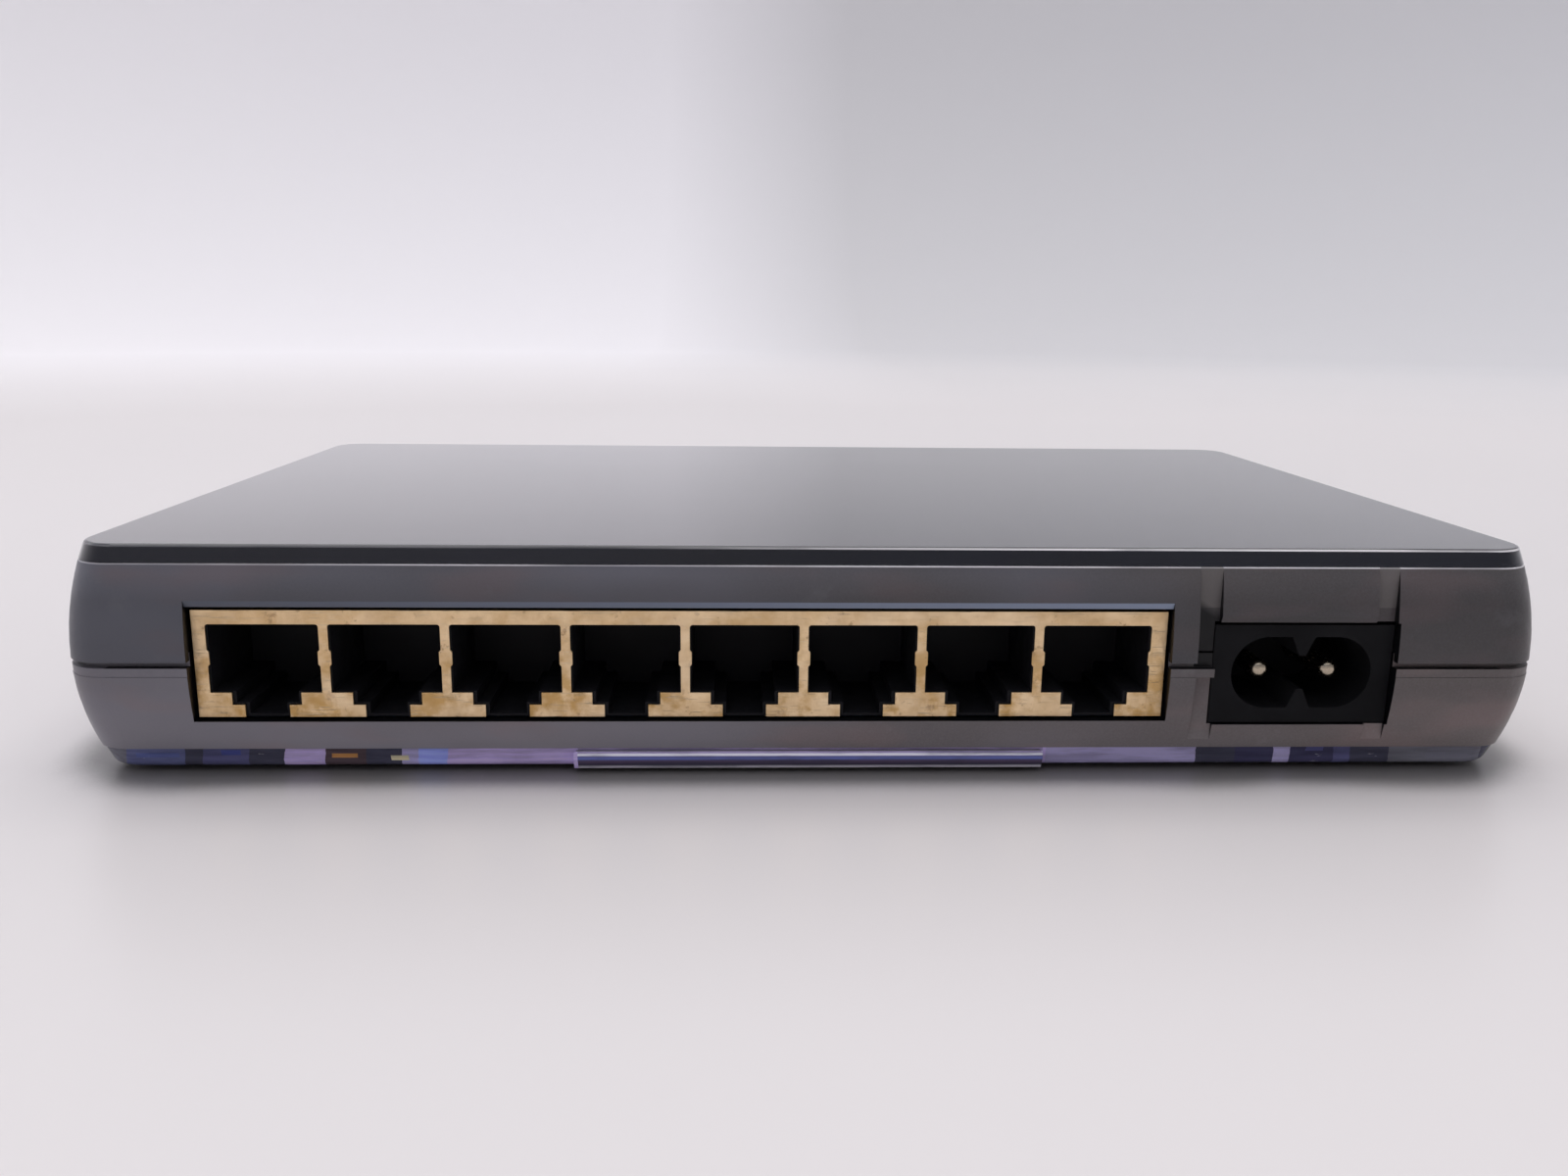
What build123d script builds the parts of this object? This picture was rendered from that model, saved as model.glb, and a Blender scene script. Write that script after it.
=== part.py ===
"""Eight-port desktop network switch with a built-in mains supply.

Millimetres. +Z is up and the row of ports faces -Y. The origin is under the
middle of the body, on the surface that the rubber feet stand on.
"""

from build123d import *

import os
from math import sqrt

# ---------------------------------------------------------------- driving dimensions
# Body: a flat box with bulging sides
BODY_WIDTH = 175.1
BODY_DEPTH = 108.0
FOOT_HEIGHT = 0.6
BODY_HEIGHT = 27.2
CORNER_RADIUS = 5.0
BULGE_ABOVE_BOTTOM = 13.8
BULGE_RADIUS_UP = 45.0
BULGE_RADIUS_DOWN = 37.5
BOTTOM_ROUND = 1.3
WALL = 2.0
FIT_ROOM = 0.1
MERGE = 0.5
PLATE_THICK = 2.03
PLATE_ROUND = 0.45
PLATE_SHADOW_GAP = 0.06
PLATE_GAP_DEPTH = 1.0
ROOF = 1.5
SHELL_TOP_ROUND = 0.35

# Seam between the two shells, and the steps on the lower one
SEAM_LOW_ABOVE_BOTTOM = 12.98
SEAM_GAP = 0.69
RIM_BAND = 1.05
RIM_INSET = 0.07
TONGUE_HEIGHT = 1.7
TONGUE_INSET = 1.15
REBATE_INSET = 1.0
REBATE_HEIGHT = 1.2
BAND_HEIGHT = 2.67
BAND_INSET = 0.2

# Eight ganged modular jacks
PORTS = 8
PORT_PITCH = 13.97
JACK_X = -15.5
SHIELD_SHIFT = 0.16
JACK_FACE_SET_BACK = 1.5
JACK_WIDTH = 114.03
JACK_TOP_GAP = 0.5
JACK_HEIGHT = 12.92
JACK_DEPTH = 15.9
JACK_BOTTOM_ABOVE_BOARD = 0.08
SHEET = 0.25
WINDOW_HALF = 6.45
WINDOW_TOP_DROP = 1.69
SHELF_DROP = 9.95
STEP_DROP = 11.44
STEP_HALF = 4.01
LATCH_HALF = 2.58
WINDOW_ROUND = 0.35
BUMP_REACH = 0.22
BUMP_HALF_HEIGHT = 1.0
BUMP_DROP = 5.75
BUMP_SLOPE = 0.24
HOUSING_BEHIND_FACE = 0.4
HOUSING_LEDGE = 0.4
HOUSING_WEB = 0.3
HOUSING_INSET = 0.15
CHANNEL_LEAD = 0.6
CAVITY_END = 13.3
HOUSING_END = 14.6
SHELL_GAP = 0.35
SHELL_BEVEL_HEIGHT = 0.8
SHELL_BEVEL_DEPTH = 0.45

# Spring contacts in every jack
WIRES = 8
WIRE_PITCH = 1.02
WIRE = 0.35
WIRE_LENGTH = 7.2
WIRE_SLOPE = 17.0
WIRE_ROOT_BEHIND_FACE = 4.8
WIRE_ROOT_DROP = 2.25
LEAD_DROP = 0.7
LEAD_GAP = 0.2
CHANNEL_HALF = 4.0

# Two-pin mains inlet
INLET_X = 58.29
INLET_FACE_WIDTH = 21.7
INLET_FACE_HEIGHT = 12.15
INLET_FACE_TOP_DROP = 1.5
INLET_SET_BACK = 1.35
INLET_FLANGE = 1.5
INLET_BODY_WIDTH = 19.8
INLET_BODY_DEPTH = 14.6
INLET_ROOM = 0.15
RECESS_DROP = 7.4
RECESS_HALF_WIDTH = 8.5
RECESS_HALF_HEIGHT = 4.4
RECESS_NECK = 2.08
RECESS_NECK_HALF = 0.4
RECESS_FLAT_START = 1.42
RECESS_DEPTH = 13.5
PIN_RADIUS = 1.2
PIN_PITCH = 8.6
PIN_TIP_ROUND = 1.0
PIN_TIP_DEPTH = 2.0
PIN_DROP = 0.3
PIN_SHIFT = 0.2
PIN_TAB = 0.8
PIN_TAB_HALF = 0.9
PANEL_DROP = 1.05
GROOVE_LEFT = (45.09, 47.79)
GROOVE_RIGHT = (66.54, 68.99)

# Board and what stands on it
BOARD_TOP = 7.2
BOARD_THICK = 1.6
BOARD_HALF_WIDTH = 83.8
BOARD_HALF_DEPTH = 50.6
BOARD_CORNER = 3.5
TAIL_BELOW_BOARD = 0.6
BOSS_X = 78.5
BOSS_Y = 43.0
BOSS_RADIUS = 3.1
POST_RADIUS = 4.4
SCREW_RADIUS = 1.4
SCREW_HOLE = 1.55
SCREW_HEAD_RADIUS = 2.7
SCREW_HEAD = 1.6
SCREW_WELL_RADIUS = 3.2
SCREW_WELL = 3.0
SCREW_LENGTH = 11.0
CROSS_WIDTH = 0.7
CROSS_LENGTH = 3.2
CROSS_DEPTH = 0.9
SCREW_HEAD_ROUND = 0.5

# Underside
FOOT_X = 66.0
FOOT_Y = 38.0
FOOT_RADIUS = 5.0
FOOT_SUNK = 0.6
FOOT_ROUND = 0.3
KEYHOLE_X = 45.0
KEYHOLE_Y = 12.0
KEYHOLE_ENTRY = 4.0
KEYHOLE_SLOT = 2.1
KEYHOLE_REACH = 7.0
VENT_COUNT = 7
VENT_PITCH = 4.5
VENT_SIZE = (16.0, 1.8)
VENT_X = 52.0
VENT_Y = -16.0
PAD_X = (-28.9, 27.6)
PAD_PROUD = 1.4
PAD_HEIGHT = 2.3
PAD_DEPTH = 44.0
PAD_ROUND = 0.4
PAD_BEVEL_DEEP = 0.7
PAD_BEVEL_TALL = 1.3
LABEL_X = (-27.4, 19.0)
LABEL_DEPTH = 36.0
LABEL_THICK = 0.1

# Status lights on the side away from the ports
LEDS = 9
LED_PITCH = 10.5
LED_X = -15.5
LED_SIZE = (2.0, 1.2, 1.6)
LED_STRIP_MARGIN = 4.0
LED_STRIP_LOW = 16.4
LED_STRIP_HIGH = 19.6
LED_STRIP_THICK = 1.5
LED_BASE = 0.8
LED_LENS_STEP = 0.5
GUIDE_ROOM = 0.6
GUIDE_WIDTH = 2.2
GUIDE_THICK = 1.6
GUIDE_BAR = 1.6
GUIDE_BAR_DROP = 2.4
GUIDE_NOSE = 0.5

# Things on the board: places are (x, y), sizes are (x, y, z), cans are (radius, length)
LEG_FINE = 0.8
LEG_COMMON = 1.27
LEG_WIDE = 2.54
LEG_REGULATOR = 2.3
LEG_REACH = 0.9
LEG_THICK = 0.2
LEG_SHARE = 0.45
CHIP_STAND_OFF = 0.15
CHIP_BEVEL = 0.15
CAN_ROUND = 0.4
CAN_GROOVE = 0.25
CAN_GROOVE_LOW = 1.2
CAN_GROOVE_HIGH = 1.8
MODULE_Y = -27.0
MODULE_SIZE = (15.0, 9.0, 5.6)
SWITCH_PLACE = (-15.5, 2.0)
SWITCH_SIZE = (20.0, 20.0, 1.4)
SINK_SIZE = (19.0, 19.0, 7.0)
SINK_ABOVE_BOARD = 1.75
SINK_FINS = 7
SINK_BASE = 1.2
SINK_FIN = 1.0
MEMORY_PLACE = (8.0, 6.0)
MEMORY_SIZE = (5.0, 4.0, 1.5)
CRYSTAL_PLACE = (8.0, -5.0)
CRYSTAL_SIZE = (11.0, 4.6, 3.5)
CRYSTAL_ROUND = 2.2
FILTER_CAN = (3.1, 7.0)
FILTER_PLACES = [(-42.0, 18.0), (-42.0, 30.0), (24.0, 24.0), (24.0, 34.0)]
INDUCTOR_SIZE = (7.0, 7.0, 3.6)
INDUCTOR_CORNER = 1.6
INDUCTOR_PLACES = [(-55.0, 24.0), (12.0, 30.0)]
REGULATOR_PLACE = (-66.0, 20.0)
REGULATOR_SIZE = (6.5, 6.1, 2.3)
CHIP_CAPACITOR = (1.6, 0.8, 0.8)
CHIP_CAPACITOR_ROWS = (-17.5, 14.0)
CHIP_CAPACITOR_START = -68.4
CHIP_CAPACITOR_PITCH = 9.4
CHIP_CAPACITORS_IN_ROW = 12
CHIP_RESISTOR = (1.6, 0.8, 0.5)
RESISTOR_BESIDE_LED = 3.0
RESISTOR_FROM_EDGE = 9.0
RESISTOR_ROW_START = -33.0
RESISTOR_ROW_PITCH = 4.4
RESISTOR_ROW_Y = -13.5
FUSE_X = 79.0
FUSE_Y = (-34.0, -18.0)
FUSE_RADIUS = 2.6
FUSE_HEIGHT = 4.3
FUSE_CLIP_SIZE = (6.6, 2.4, 6.0)
FUSE_CLIP_INSET = 1.0
FUSE_CLIP_ROOM = 0.05
FILM_PLACE = (68.0, -27.0)
FILM_SIZE = (13.0, 6.0, 11.5)
FILM_ROUND = 0.6
CHOKE_PLACE = (51.0, -25.0)
CHOKE_RADII = (4.4, 8.0)
CHOKE_STAND_OFF = 1.0
CHOKE_HEIGHT = 7.0
CHOKE_WIRE = 0.7
CHOKE_COIL_OFFSET = 6.6
CHOKE_COIL_SIZE = (8.0, 11.0, 9.0)
BRIDGE_PLACE = (76.5, -9.0)
BRIDGE_SIZE = (8.0, 6.4, 3.4)
BRIDGE_ROUND = 0.4
BULK_PLACE = (60.0, -2.0)
BULK_CAN = (6.4, 20.0)
BULK_ROUND = 0.5
CONTROLLER_PLACE = (75.0, 3.5)
CONTROLLER_SIZE = (9.2, 6.4, 3.4)
OPTO_PLACE = (74.0, 27.5)
OPTO_SIZE = (6.5, 4.6, 3.4)
TRANSFORMER_PLACE = (58.0, 25.0)
TRANSFORMER_SIZE = (20.0, 21.0, 11.0)
TRANSFORMER_STAND_OFF = 1.0
TRANSFORMER_END = 4.5
TRANSFORMER_WINDOW_SHARE = 0.27
TRANSFORMER_BOBBIN_SHARE = 0.81
TRANSFORMER_ROOM = 0.3
WINDING_RISE = 2.4
OUTPUT_CAN = (4.0, 12.0)
OUTPUT_CAN_PLACES = [(42.0, 40.0), (42.0, 29.0)]
DRUM_PLACE = (56.0, 43.0)
DRUM_RADIUS = 3.6
DRUM_WAIST = 2.6
DRUM_HEIGHT = 9.0
DRUM_FLANGE = 1.0
DIODE_SINK_PLACE = (70.0, 43.5)
DIODE_SINK_SIZE = (10.0, 1.4, 13.0)
DIODE_PLACE = (70.0, 41.0)
DIODE_SIZE = (8.0, 3.4, 9.5)
DIODE_STAND_OFF = 2.0
SHEET_X = (40.0, 83.0)
SHEET_Y = (-33.5, 36.0)
SHEET_ABOVE_FLOOR = (0.8, 1.2)

# ---------------------------------------------------------------- derived values
BODY_BOTTOM = FOOT_HEIGHT
BODY_TOP = BODY_BOTTOM + BODY_HEIGHT
BULGE_Z = BODY_BOTTOM + BULGE_ABOVE_BOTTOM
HALF_WIDTH = BODY_WIDTH / 2
HALF_DEPTH = BODY_DEPTH / 2
PLATE_BOTTOM = BODY_TOP - PLATE_THICK
UPPER_TOP = PLATE_BOTTOM - PLATE_SHADOW_GAP
ROOF_UNDER = UPPER_TOP - ROOF
LOWER_TOP = BODY_BOTTOM + SEAM_LOW_ABOVE_BOTTOM
BULGE_AT_WINDOW = BULGE_RADIUS_UP - sqrt(BULGE_RADIUS_UP**2 - (LED_STRIP_LOW - BULGE_Z) ** 2)
UPPER_BOTTOM = LOWER_TOP + SEAM_GAP
RIM_LOW = LOWER_TOP - RIM_BAND
TONGUE_TOP = LOWER_TOP + TONGUE_HEIGHT
BAND_TOP = BODY_BOTTOM + BAND_HEIGHT
FLOOR_TOP = BODY_BOTTOM + WALL
JACK_FACE = -HALF_DEPTH + JACK_FACE_SET_BACK
JACK_BOTTOM = BOARD_TOP + JACK_BOTTOM_ABOVE_BOARD
JACK_TOP = JACK_BOTTOM + JACK_HEIGHT
JACK_BACK = JACK_FACE + JACK_DEPTH
BOARD_BOTTOM = BOARD_TOP - BOARD_THICK
INLET_FACE = -HALF_DEPTH + INLET_SET_BACK
INLET_TOP = JACK_TOP - INLET_FACE_TOP_DROP
INLET_BOTTOM = INLET_TOP - INLET_FACE_HEIGHT
RECESS_Z = JACK_TOP - RECESS_DROP
PIN_Z = RECESS_Z - PIN_DROP
PINS_X = INLET_X + PIN_SHIFT
TAIL_END = BOARD_BOTTOM - TAIL_BELOW_BOARD
GUIDE_FACE = HALF_DEPTH - WALL - GUIDE_ROOM - BULGE_AT_WINDOW
WIRE_ROOT_Y = JACK_FACE + WIRE_ROOT_BEHIND_FACE
WIRE_ROOT_Z = JACK_TOP - WIRE_ROOT_DROP
HOUSING_BACK = JACK_FACE + HOUSING_END
SHIELD_X = (JACK_X + SHIELD_SHIFT - JACK_WIDTH / 2, JACK_X + SHIELD_SHIFT + JACK_WIDTH / 2)
JACK_OPENING_X = (SHIELD_X[0] - SHELL_GAP, SHIELD_X[1] + SHELL_GAP)
JACK_OPENING_TOP = JACK_TOP + JACK_TOP_GAP
INLET_OPENING_TOP = JACK_TOP - PANEL_DROP

parts = {}


# ---------------------------------------------------------------- helpers
def block(x, y, z):
    """Box between two corners given as (low, high) pairs."""
    size = (x[1] - x[0], y[1] - y[0], z[1] - z[0])
    middle = ((x[0] + x[1]) / 2, (y[0] + y[1]) / 2, (z[0] + z[1]) / 2)
    return Pos(*middle) * Box(*size)


def stand(x, y, z, size):
    """Box of the given size standing at height z, centred on x and y."""
    return Pos(x, y, z + size[2] / 2) * Box(*size)


def post(x, y, low, high, radius):
    """Upright cylinder."""
    return Pos(x, y, (low + high) / 2) * Cylinder(radius, high - low)


def rod_along_y(x, z, y, radius):
    """Cylinder along Y between the two values in y."""
    return Pos(x, (y[0] + y[1]) / 2, z) * Rot(90, 0, 0) * Cylinder(radius, y[1] - y[0])


def rod_along_x(x, y, z, radius):
    """Cylinder along X between the two values in x."""
    return Pos((x[0] + x[1]) / 2, y, z) * Rot(0, 90, 0) * Cylinder(radius, x[1] - x[0])


def corners(x, y):
    """The four places at plus and minus x and y."""
    return [(sx * x, sy * y) for sy in (-1, 1) for sx in (-1, 1)]


def port_x(number):
    """Middle of a port, counted from 1."""
    return JACK_X + (number - (PORTS + 1) / 2) * PORT_PITCH


def union(shapes):
    """All the shapes as one."""
    total = shapes[0]
    for shape in shapes[1:]:
        total = total + shape
    return total


def save(name, *solids):
    """Keep a node; several solids stay separate in it."""
    found = []
    for shape in solids:
        found += list(shape.solids())
    parts[name] = found[0] if len(found) == 1 else Compound(children=found)


# ---------------------------------------------------------------- body outline
def bulge_radius(z):
    return BULGE_RADIUS_UP if z > BULGE_Z else BULGE_RADIUS_DOWN


def side_inset(z):
    """How far the side stands in from its widest point at a height."""
    radius = bulge_radius(z)
    return radius - sqrt(radius**2 - (z - BULGE_Z) ** 2)


def bulging_section(half_span, low, high, inset):
    """Section across the body, set in from the outside by an even distance."""

    def at(z):
        radius = bulge_radius(z) - inset
        drop = radius - sqrt(radius**2 - (z - BULGE_Z) ** 2)
        return (half_span - inset - drop, z)

    right = [ThreePointArc(at(low), at((low + BULGE_Z) / 2), at(BULGE_Z))]
    right.append(ThreePointArc(at(BULGE_Z), at((BULGE_Z + high) / 2), at(high)))
    left = [edge.mirror(Plane.YZ) for edge in right]
    top = Line(at(high), (-at(high)[0], high))
    bottom = Line(at(low), (-at(low)[0], low))
    return make_face(Curve() + right + left + [top, bottom])


def envelope(inset, low=BODY_BOTTOM, high=BODY_TOP):
    """The whole rounded body, set in by an even distance."""
    across = bulging_section(HALF_WIDTH, low, high, inset)
    along = bulging_section(HALF_DEPTH, low, high, inset)
    body = extrude(Plane.XZ * across, BODY_DEPTH, both=True)
    body = body & extrude(Plane.YZ * along, BODY_WIDTH, both=True)
    uprights = body.edges().filter_by(lambda edge: edge.bounding_box().size.Z > 2)
    return fillet(uprights, CORNER_RADIUS - inset)


def slab(shape, low, high):
    """The stretch of a shape between two heights."""
    reach = (-BODY_WIDTH, BODY_WIDTH)
    return shape & block(reach, reach, (low, high))


def level_edges(shape, z):
    """Edges that lie at one height."""
    return shape.edges().filter_by(
        lambda edge: edge.bounding_box().size.Z < 0.01 and abs(edge.center().Z - z) < 0.01
    )


def outer_level_edges(shape, z):
    """Edges of the outer loop at one height."""
    face = shape.faces().filter_by(Axis.Z).filter_by(lambda item: abs(item.center().Z - z) < 0.01)
    return face.sort_by(SortBy.AREA)[-1].outer_wire().edges()


outside = envelope(0)
inside = envelope(WALL, BODY_BOTTOM, BODY_TOP)


# ---------------------------------------------------------------- casing
def top_plate():
    plate = slab(outside, PLATE_BOTTOM, BODY_TOP)
    plate = fillet(outer_level_edges(plate, BODY_TOP), PLATE_ROUND)
    return plate + slab(envelope(PLATE_GAP_DEPTH), UPPER_TOP, PLATE_BOTTOM)


def jack_opening():
    z = (JACK_BOTTOM - SHELL_GAP, JACK_OPENING_TOP)
    return block(JACK_OPENING_X, (-HALF_DEPTH - 1, JACK_FACE + 4), z)


def edge_bevel(x, z):
    """Wedge that bevels the lower edge of the upper shell's wall above an opening."""
    high = z + SHELL_BEVEL_HEIGHT
    y_low = -HALF_DEPTH + side_inset(z) + SHELL_BEVEL_DEPTH
    y_high = -HALF_DEPTH + side_inset(high)
    points = [(y_low, z), (y_high, high), (y_high - 1, high), (y_high - 1, z - 1), (y_low, z - 1)]
    half = (x[1] - x[0]) / 2
    wedge = extrude(Plane.YZ * make_face(Polyline(*points, close=True)), half, both=True)
    return Pos(x[0] + half, 0, 0) * wedge


def inlet_opening():
    half = INLET_FACE_WIDTH / 2 + INLET_ROOM
    x = (INLET_X - half, INLET_X + half)
    return block(x, (-HALF_DEPTH - 1, INLET_FACE + 4), (INLET_BOTTOM - INLET_ROOM, INLET_OPENING_TOP))


def grooves(low, high):
    """The two flat-bottomed finger grooves beside the mains inlet."""
    y = (-HALF_DEPTH - 1, INLET_FACE)
    return block(GROOVE_LEFT, y, (low, high)) + block(GROOVE_RIGHT, y, (low, high))


def led_opening(room):
    half = (LEDS - 1) / 2 * LED_PITCH + LED_STRIP_MARGIN + room
    x = (LED_X - half, LED_X + half)
    y = (HALF_DEPTH - WALL - 1, HALF_DEPTH + 1)
    return block(x, y, (LED_STRIP_LOW - room, LED_STRIP_HIGH + room))


def upper_shell():
    shell = slab(outside, UPPER_BOTTOM, UPPER_TOP)
    shell = fillet(outer_level_edges(shell, UPPER_TOP), SHELL_TOP_ROUND)
    shell = shell - slab(inside, BODY_BOTTOM, ROOF_UNDER)
    shell = shell - slab(envelope(REBATE_INSET), BODY_BOTTOM, UPPER_BOTTOM + REBATE_HEIGHT)
    for x, y in corners(BOSS_X, BOSS_Y):
        shell = shell + post(x, y, BOARD_TOP, ROOF_UNDER + MERGE, BOSS_RADIUS)
        shell = shell - post(x, y, BOARD_TOP - 1, BOARD_TOP + SCREW_LENGTH, SCREW_HOLE)
    shell = shell - jack_opening() - edge_bevel(JACK_OPENING_X, JACK_OPENING_TOP)
    shell = shell - inlet_opening() - edge_bevel((GROOVE_LEFT[1], GROOVE_RIGHT[0]), INLET_OPENING_TOP)
    shell = shell - grooves(UPPER_BOTTOM - 1, UPPER_TOP + 1)
    return shell - led_opening(FIT_ROOM)


def keyhole(x):
    """Hanging slot: a round entry for the screw's head and a narrow way for its neck."""
    entry = post(x, KEYHOLE_Y, 0, FLOOR_TOP + 1, KEYHOLE_ENTRY)
    end = post(x, KEYHOLE_Y + KEYHOLE_REACH, 0, FLOOR_TOP + 1, KEYHOLE_SLOT)
    way = block(
        (x - KEYHOLE_SLOT, x + KEYHOLE_SLOT), (KEYHOLE_Y, KEYHOLE_Y + KEYHOLE_REACH), (0, FLOOR_TOP + 1)
    )
    return entry + end + way


def vents(side):
    """One row of air slots through the floor."""
    slots = []
    for index in range(VENT_COUNT):
        y = VENT_Y + (index - (VENT_COUNT - 1) / 2) * VENT_PITCH
        slots.append(stand(side * VENT_X, y, 0, (VENT_SIZE[0], VENT_SIZE[1], FLOOR_TOP + 1)))
    return slots


def label_pad():
    """Flat pad that comes out to the rear edge and carries the label."""
    rear = -HALF_DEPTH + PAD_PROUD
    pad = block(PAD_X, (rear, rear + PAD_DEPTH), (BODY_BOTTOM, BODY_BOTTOM + PAD_HEIGHT))
    low = pad.faces().sort_by(Axis.Z)[0]
    rear_edges = pad.edges().filter_by(Axis.X).filter_by(lambda edge: edge.center().Y < rear + 1)
    pad = chamfer(rear_edges.sort_by(Axis.Z)[0], PAD_BEVEL_DEEP, PAD_BEVEL_TALL, reference=low)
    rear_edges = pad.edges().filter_by(Axis.X).filter_by(lambda edge: edge.center().Y < rear + 1)
    ends = pad.edges().filter_by(Axis.Y).filter_by(lambda edge: edge.center().Z > BODY_BOTTOM + 1)
    return fillet([rear_edges.sort_by(Axis.Z)[-1]] + list(ends), PAD_ROUND)


def lower_shell():
    band = slab(envelope(BAND_INSET), BODY_BOTTOM, BAND_TOP)
    band = fillet(outer_level_edges(band, BODY_BOTTOM), BOTTOM_ROUND)
    middle = slab(outside, BAND_TOP, RIM_LOW)
    rim = slab(envelope(RIM_INSET), RIM_LOW, LOWER_TOP)
    tongue = slab(envelope(TONGUE_INSET), LOWER_TOP, TONGUE_TOP)
    shell = band + middle + rim + tongue
    shell = shell - slab(inside, FLOOR_TOP, BODY_TOP)
    shell = shell + label_pad()
    for x, y in corners(BOSS_X, BOSS_Y):
        shell = shell + (post(x, y, FLOOR_TOP - MERGE, BOARD_BOTTOM, POST_RADIUS) & outside)
        shell = shell - post(x, y, 0, BODY_BOTTOM + SCREW_WELL, SCREW_WELL_RADIUS)
        shell = shell - post(x, y, 0, BOARD_BOTTOM + 1, SCREW_HOLE)
    for x, y in corners(FOOT_X, FOOT_Y):
        shell = shell - post(x, y, 0, BODY_BOTTOM + FOOT_SUNK, FOOT_RADIUS + FIT_ROOM)
    for side in (-1, 1):
        shell = shell - keyhole(side * KEYHOLE_X)
        shell = shell - vents(side)
    shell = shell - jack_opening() - inlet_opening()
    return shell - grooves(BAND_TOP, RIM_LOW)


def rubber_feet():
    feet = []
    for x, y in corners(FOOT_X, FOOT_Y):
        foot = post(x, y, 0, FOOT_HEIGHT + FOOT_SUNK, FOOT_RADIUS)
        feet.append(fillet(level_edges(foot, 0), FOOT_ROUND))
    return feet


def case_screws():
    """Cross-head screws driven up through the lower shell into the upper one."""
    screws = []
    seat = BODY_BOTTOM + SCREW_WELL
    for x, y in corners(BOSS_X, BOSS_Y):
        head = post(x, y, seat - SCREW_HEAD, seat, SCREW_HEAD_RADIUS)
        head = fillet(level_edges(head, seat - SCREW_HEAD), SCREW_HEAD_ROUND)
        screw = head + post(x, y, seat, seat + SCREW_LENGTH, SCREW_RADIUS)
        depth = seat - SCREW_HEAD
        screw = screw - stand(x, y, depth, (CROSS_WIDTH, CROSS_LENGTH, CROSS_DEPTH))
        screw = screw - stand(x, y, depth, (CROSS_LENGTH, CROSS_WIDTH, CROSS_DEPTH))
        screws.append(screw)
    return screws


def label():
    """Thin rating label on the underside of the pad."""
    front = -HALF_DEPTH + PAD_PROUD + 2 * PAD_BEVEL_DEEP
    return block(LABEL_X, (front, front + LABEL_DEPTH), (BODY_BOTTOM - LABEL_THICK, BODY_BOTTOM))


# ---------------------------------------------------------------- status lights
def led_x(index):
    return LED_X + (index - (LEDS - 1) / 2) * LED_PITCH


def led_window():
    strip = led_opening(0) & outside
    return strip - slab(envelope(LED_STRIP_THICK), LED_STRIP_LOW - 1, LED_STRIP_HIGH + 1)


def light_guide():
    """Comb of clear guides that carries each light up to the window, as one moulding."""
    low = BOARD_TOP + LED_SIZE[2] + 3 * FIT_ROOM
    y_up = (GUIDE_FACE - GUIDE_THICK, GUIDE_FACE)
    y_nose = (GUIDE_FACE - FIT_ROOM, GUIDE_FACE + GUIDE_NOSE)
    bar_low = LED_STRIP_LOW - GUIDE_BAR_DROP
    high = LED_STRIP_HIGH - GUIDE_ROOM
    first, last = led_x(0) - GUIDE_WIDTH / 2, led_x(LEDS - 1) + GUIDE_WIDTH / 2
    comb = block((first, last), y_up, (bar_low, bar_low + GUIDE_BAR))
    for index in range(LEDS):
        x = (led_x(index) - GUIDE_WIDTH / 2, led_x(index) + GUIDE_WIDTH / 2)
        comb = comb + block(x, y_up, (low, high))
        comb = comb + block(x, y_nose, (LED_STRIP_LOW + GUIDE_ROOM, high))
    return comb


def status_leds():
    """Small surface-mounted lights, each a square base under a lens."""
    y = GUIDE_FACE - GUIDE_THICK / 2
    lens_size = (LED_SIZE[0] - LED_LENS_STEP, LED_SIZE[1] - FIT_ROOM, LED_SIZE[2] - LED_BASE)
    leds = []
    for index in range(LEDS):
        base = stand(led_x(index), y, BOARD_TOP, (LED_SIZE[0], LED_SIZE[1], LED_BASE))
        leds.append(base + stand(led_x(index), y, BOARD_TOP + LED_BASE, lens_size))
    return leds


# ---------------------------------------------------------------- jacks
def window_outline(half, top, shelf, step, step_half, latch_half, bottom):
    """Stepped opening of one port, as x and z points."""
    right = [(half, top), (half, shelf), (step_half, shelf), (step_half, step), (latch_half, step)]
    right.append((latch_half, bottom))
    return right + [(-x, z) for x, z in reversed(right)]


def window_cut(number, outline, y, top_round=0):
    """Prism of one port's opening between two depths."""
    face = make_face(Polyline(*outline, close=True))
    if top_round:
        face = fillet(face.vertices().sort_by(Axis.Y)[-2:], top_round)
    cut = extrude(Plane((0, y[0], 0), x_dir=(1, 0, 0), z_dir=(0, -1, 0)) * face, -(y[1] - y[0]))
    return Pos(port_x(number), 0, 0) * cut


def jack_shield():
    """Folded sheet box, open below, with a stepped window and spring bumps at every port."""
    inner_x = (SHIELD_X[0] + SHEET, SHIELD_X[1] - SHEET)
    box = block(SHIELD_X, (JACK_FACE, JACK_BACK), (JACK_BOTTOM, JACK_TOP))
    box = box - block(inner_x, (JACK_FACE + SHEET, JACK_BACK - SHEET), (JACK_BOTTOM - 1, JACK_TOP - SHEET))
    outline = window_outline(
        WINDOW_HALF,
        JACK_TOP - WINDOW_TOP_DROP,
        JACK_TOP - SHELF_DROP,
        JACK_TOP - STEP_DROP,
        STEP_HALF,
        LATCH_HALF,
        JACK_BOTTOM - 1,
    )
    for number in range(1, PORTS + 1):
        box = box - window_cut(number, outline, (JACK_FACE - 1, JACK_FACE + 1), WINDOW_ROUND)
        for side in (-1, 1):
            box = box + spring_bump(port_x(number) + side * WINDOW_HALF, side)
    return box


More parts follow.
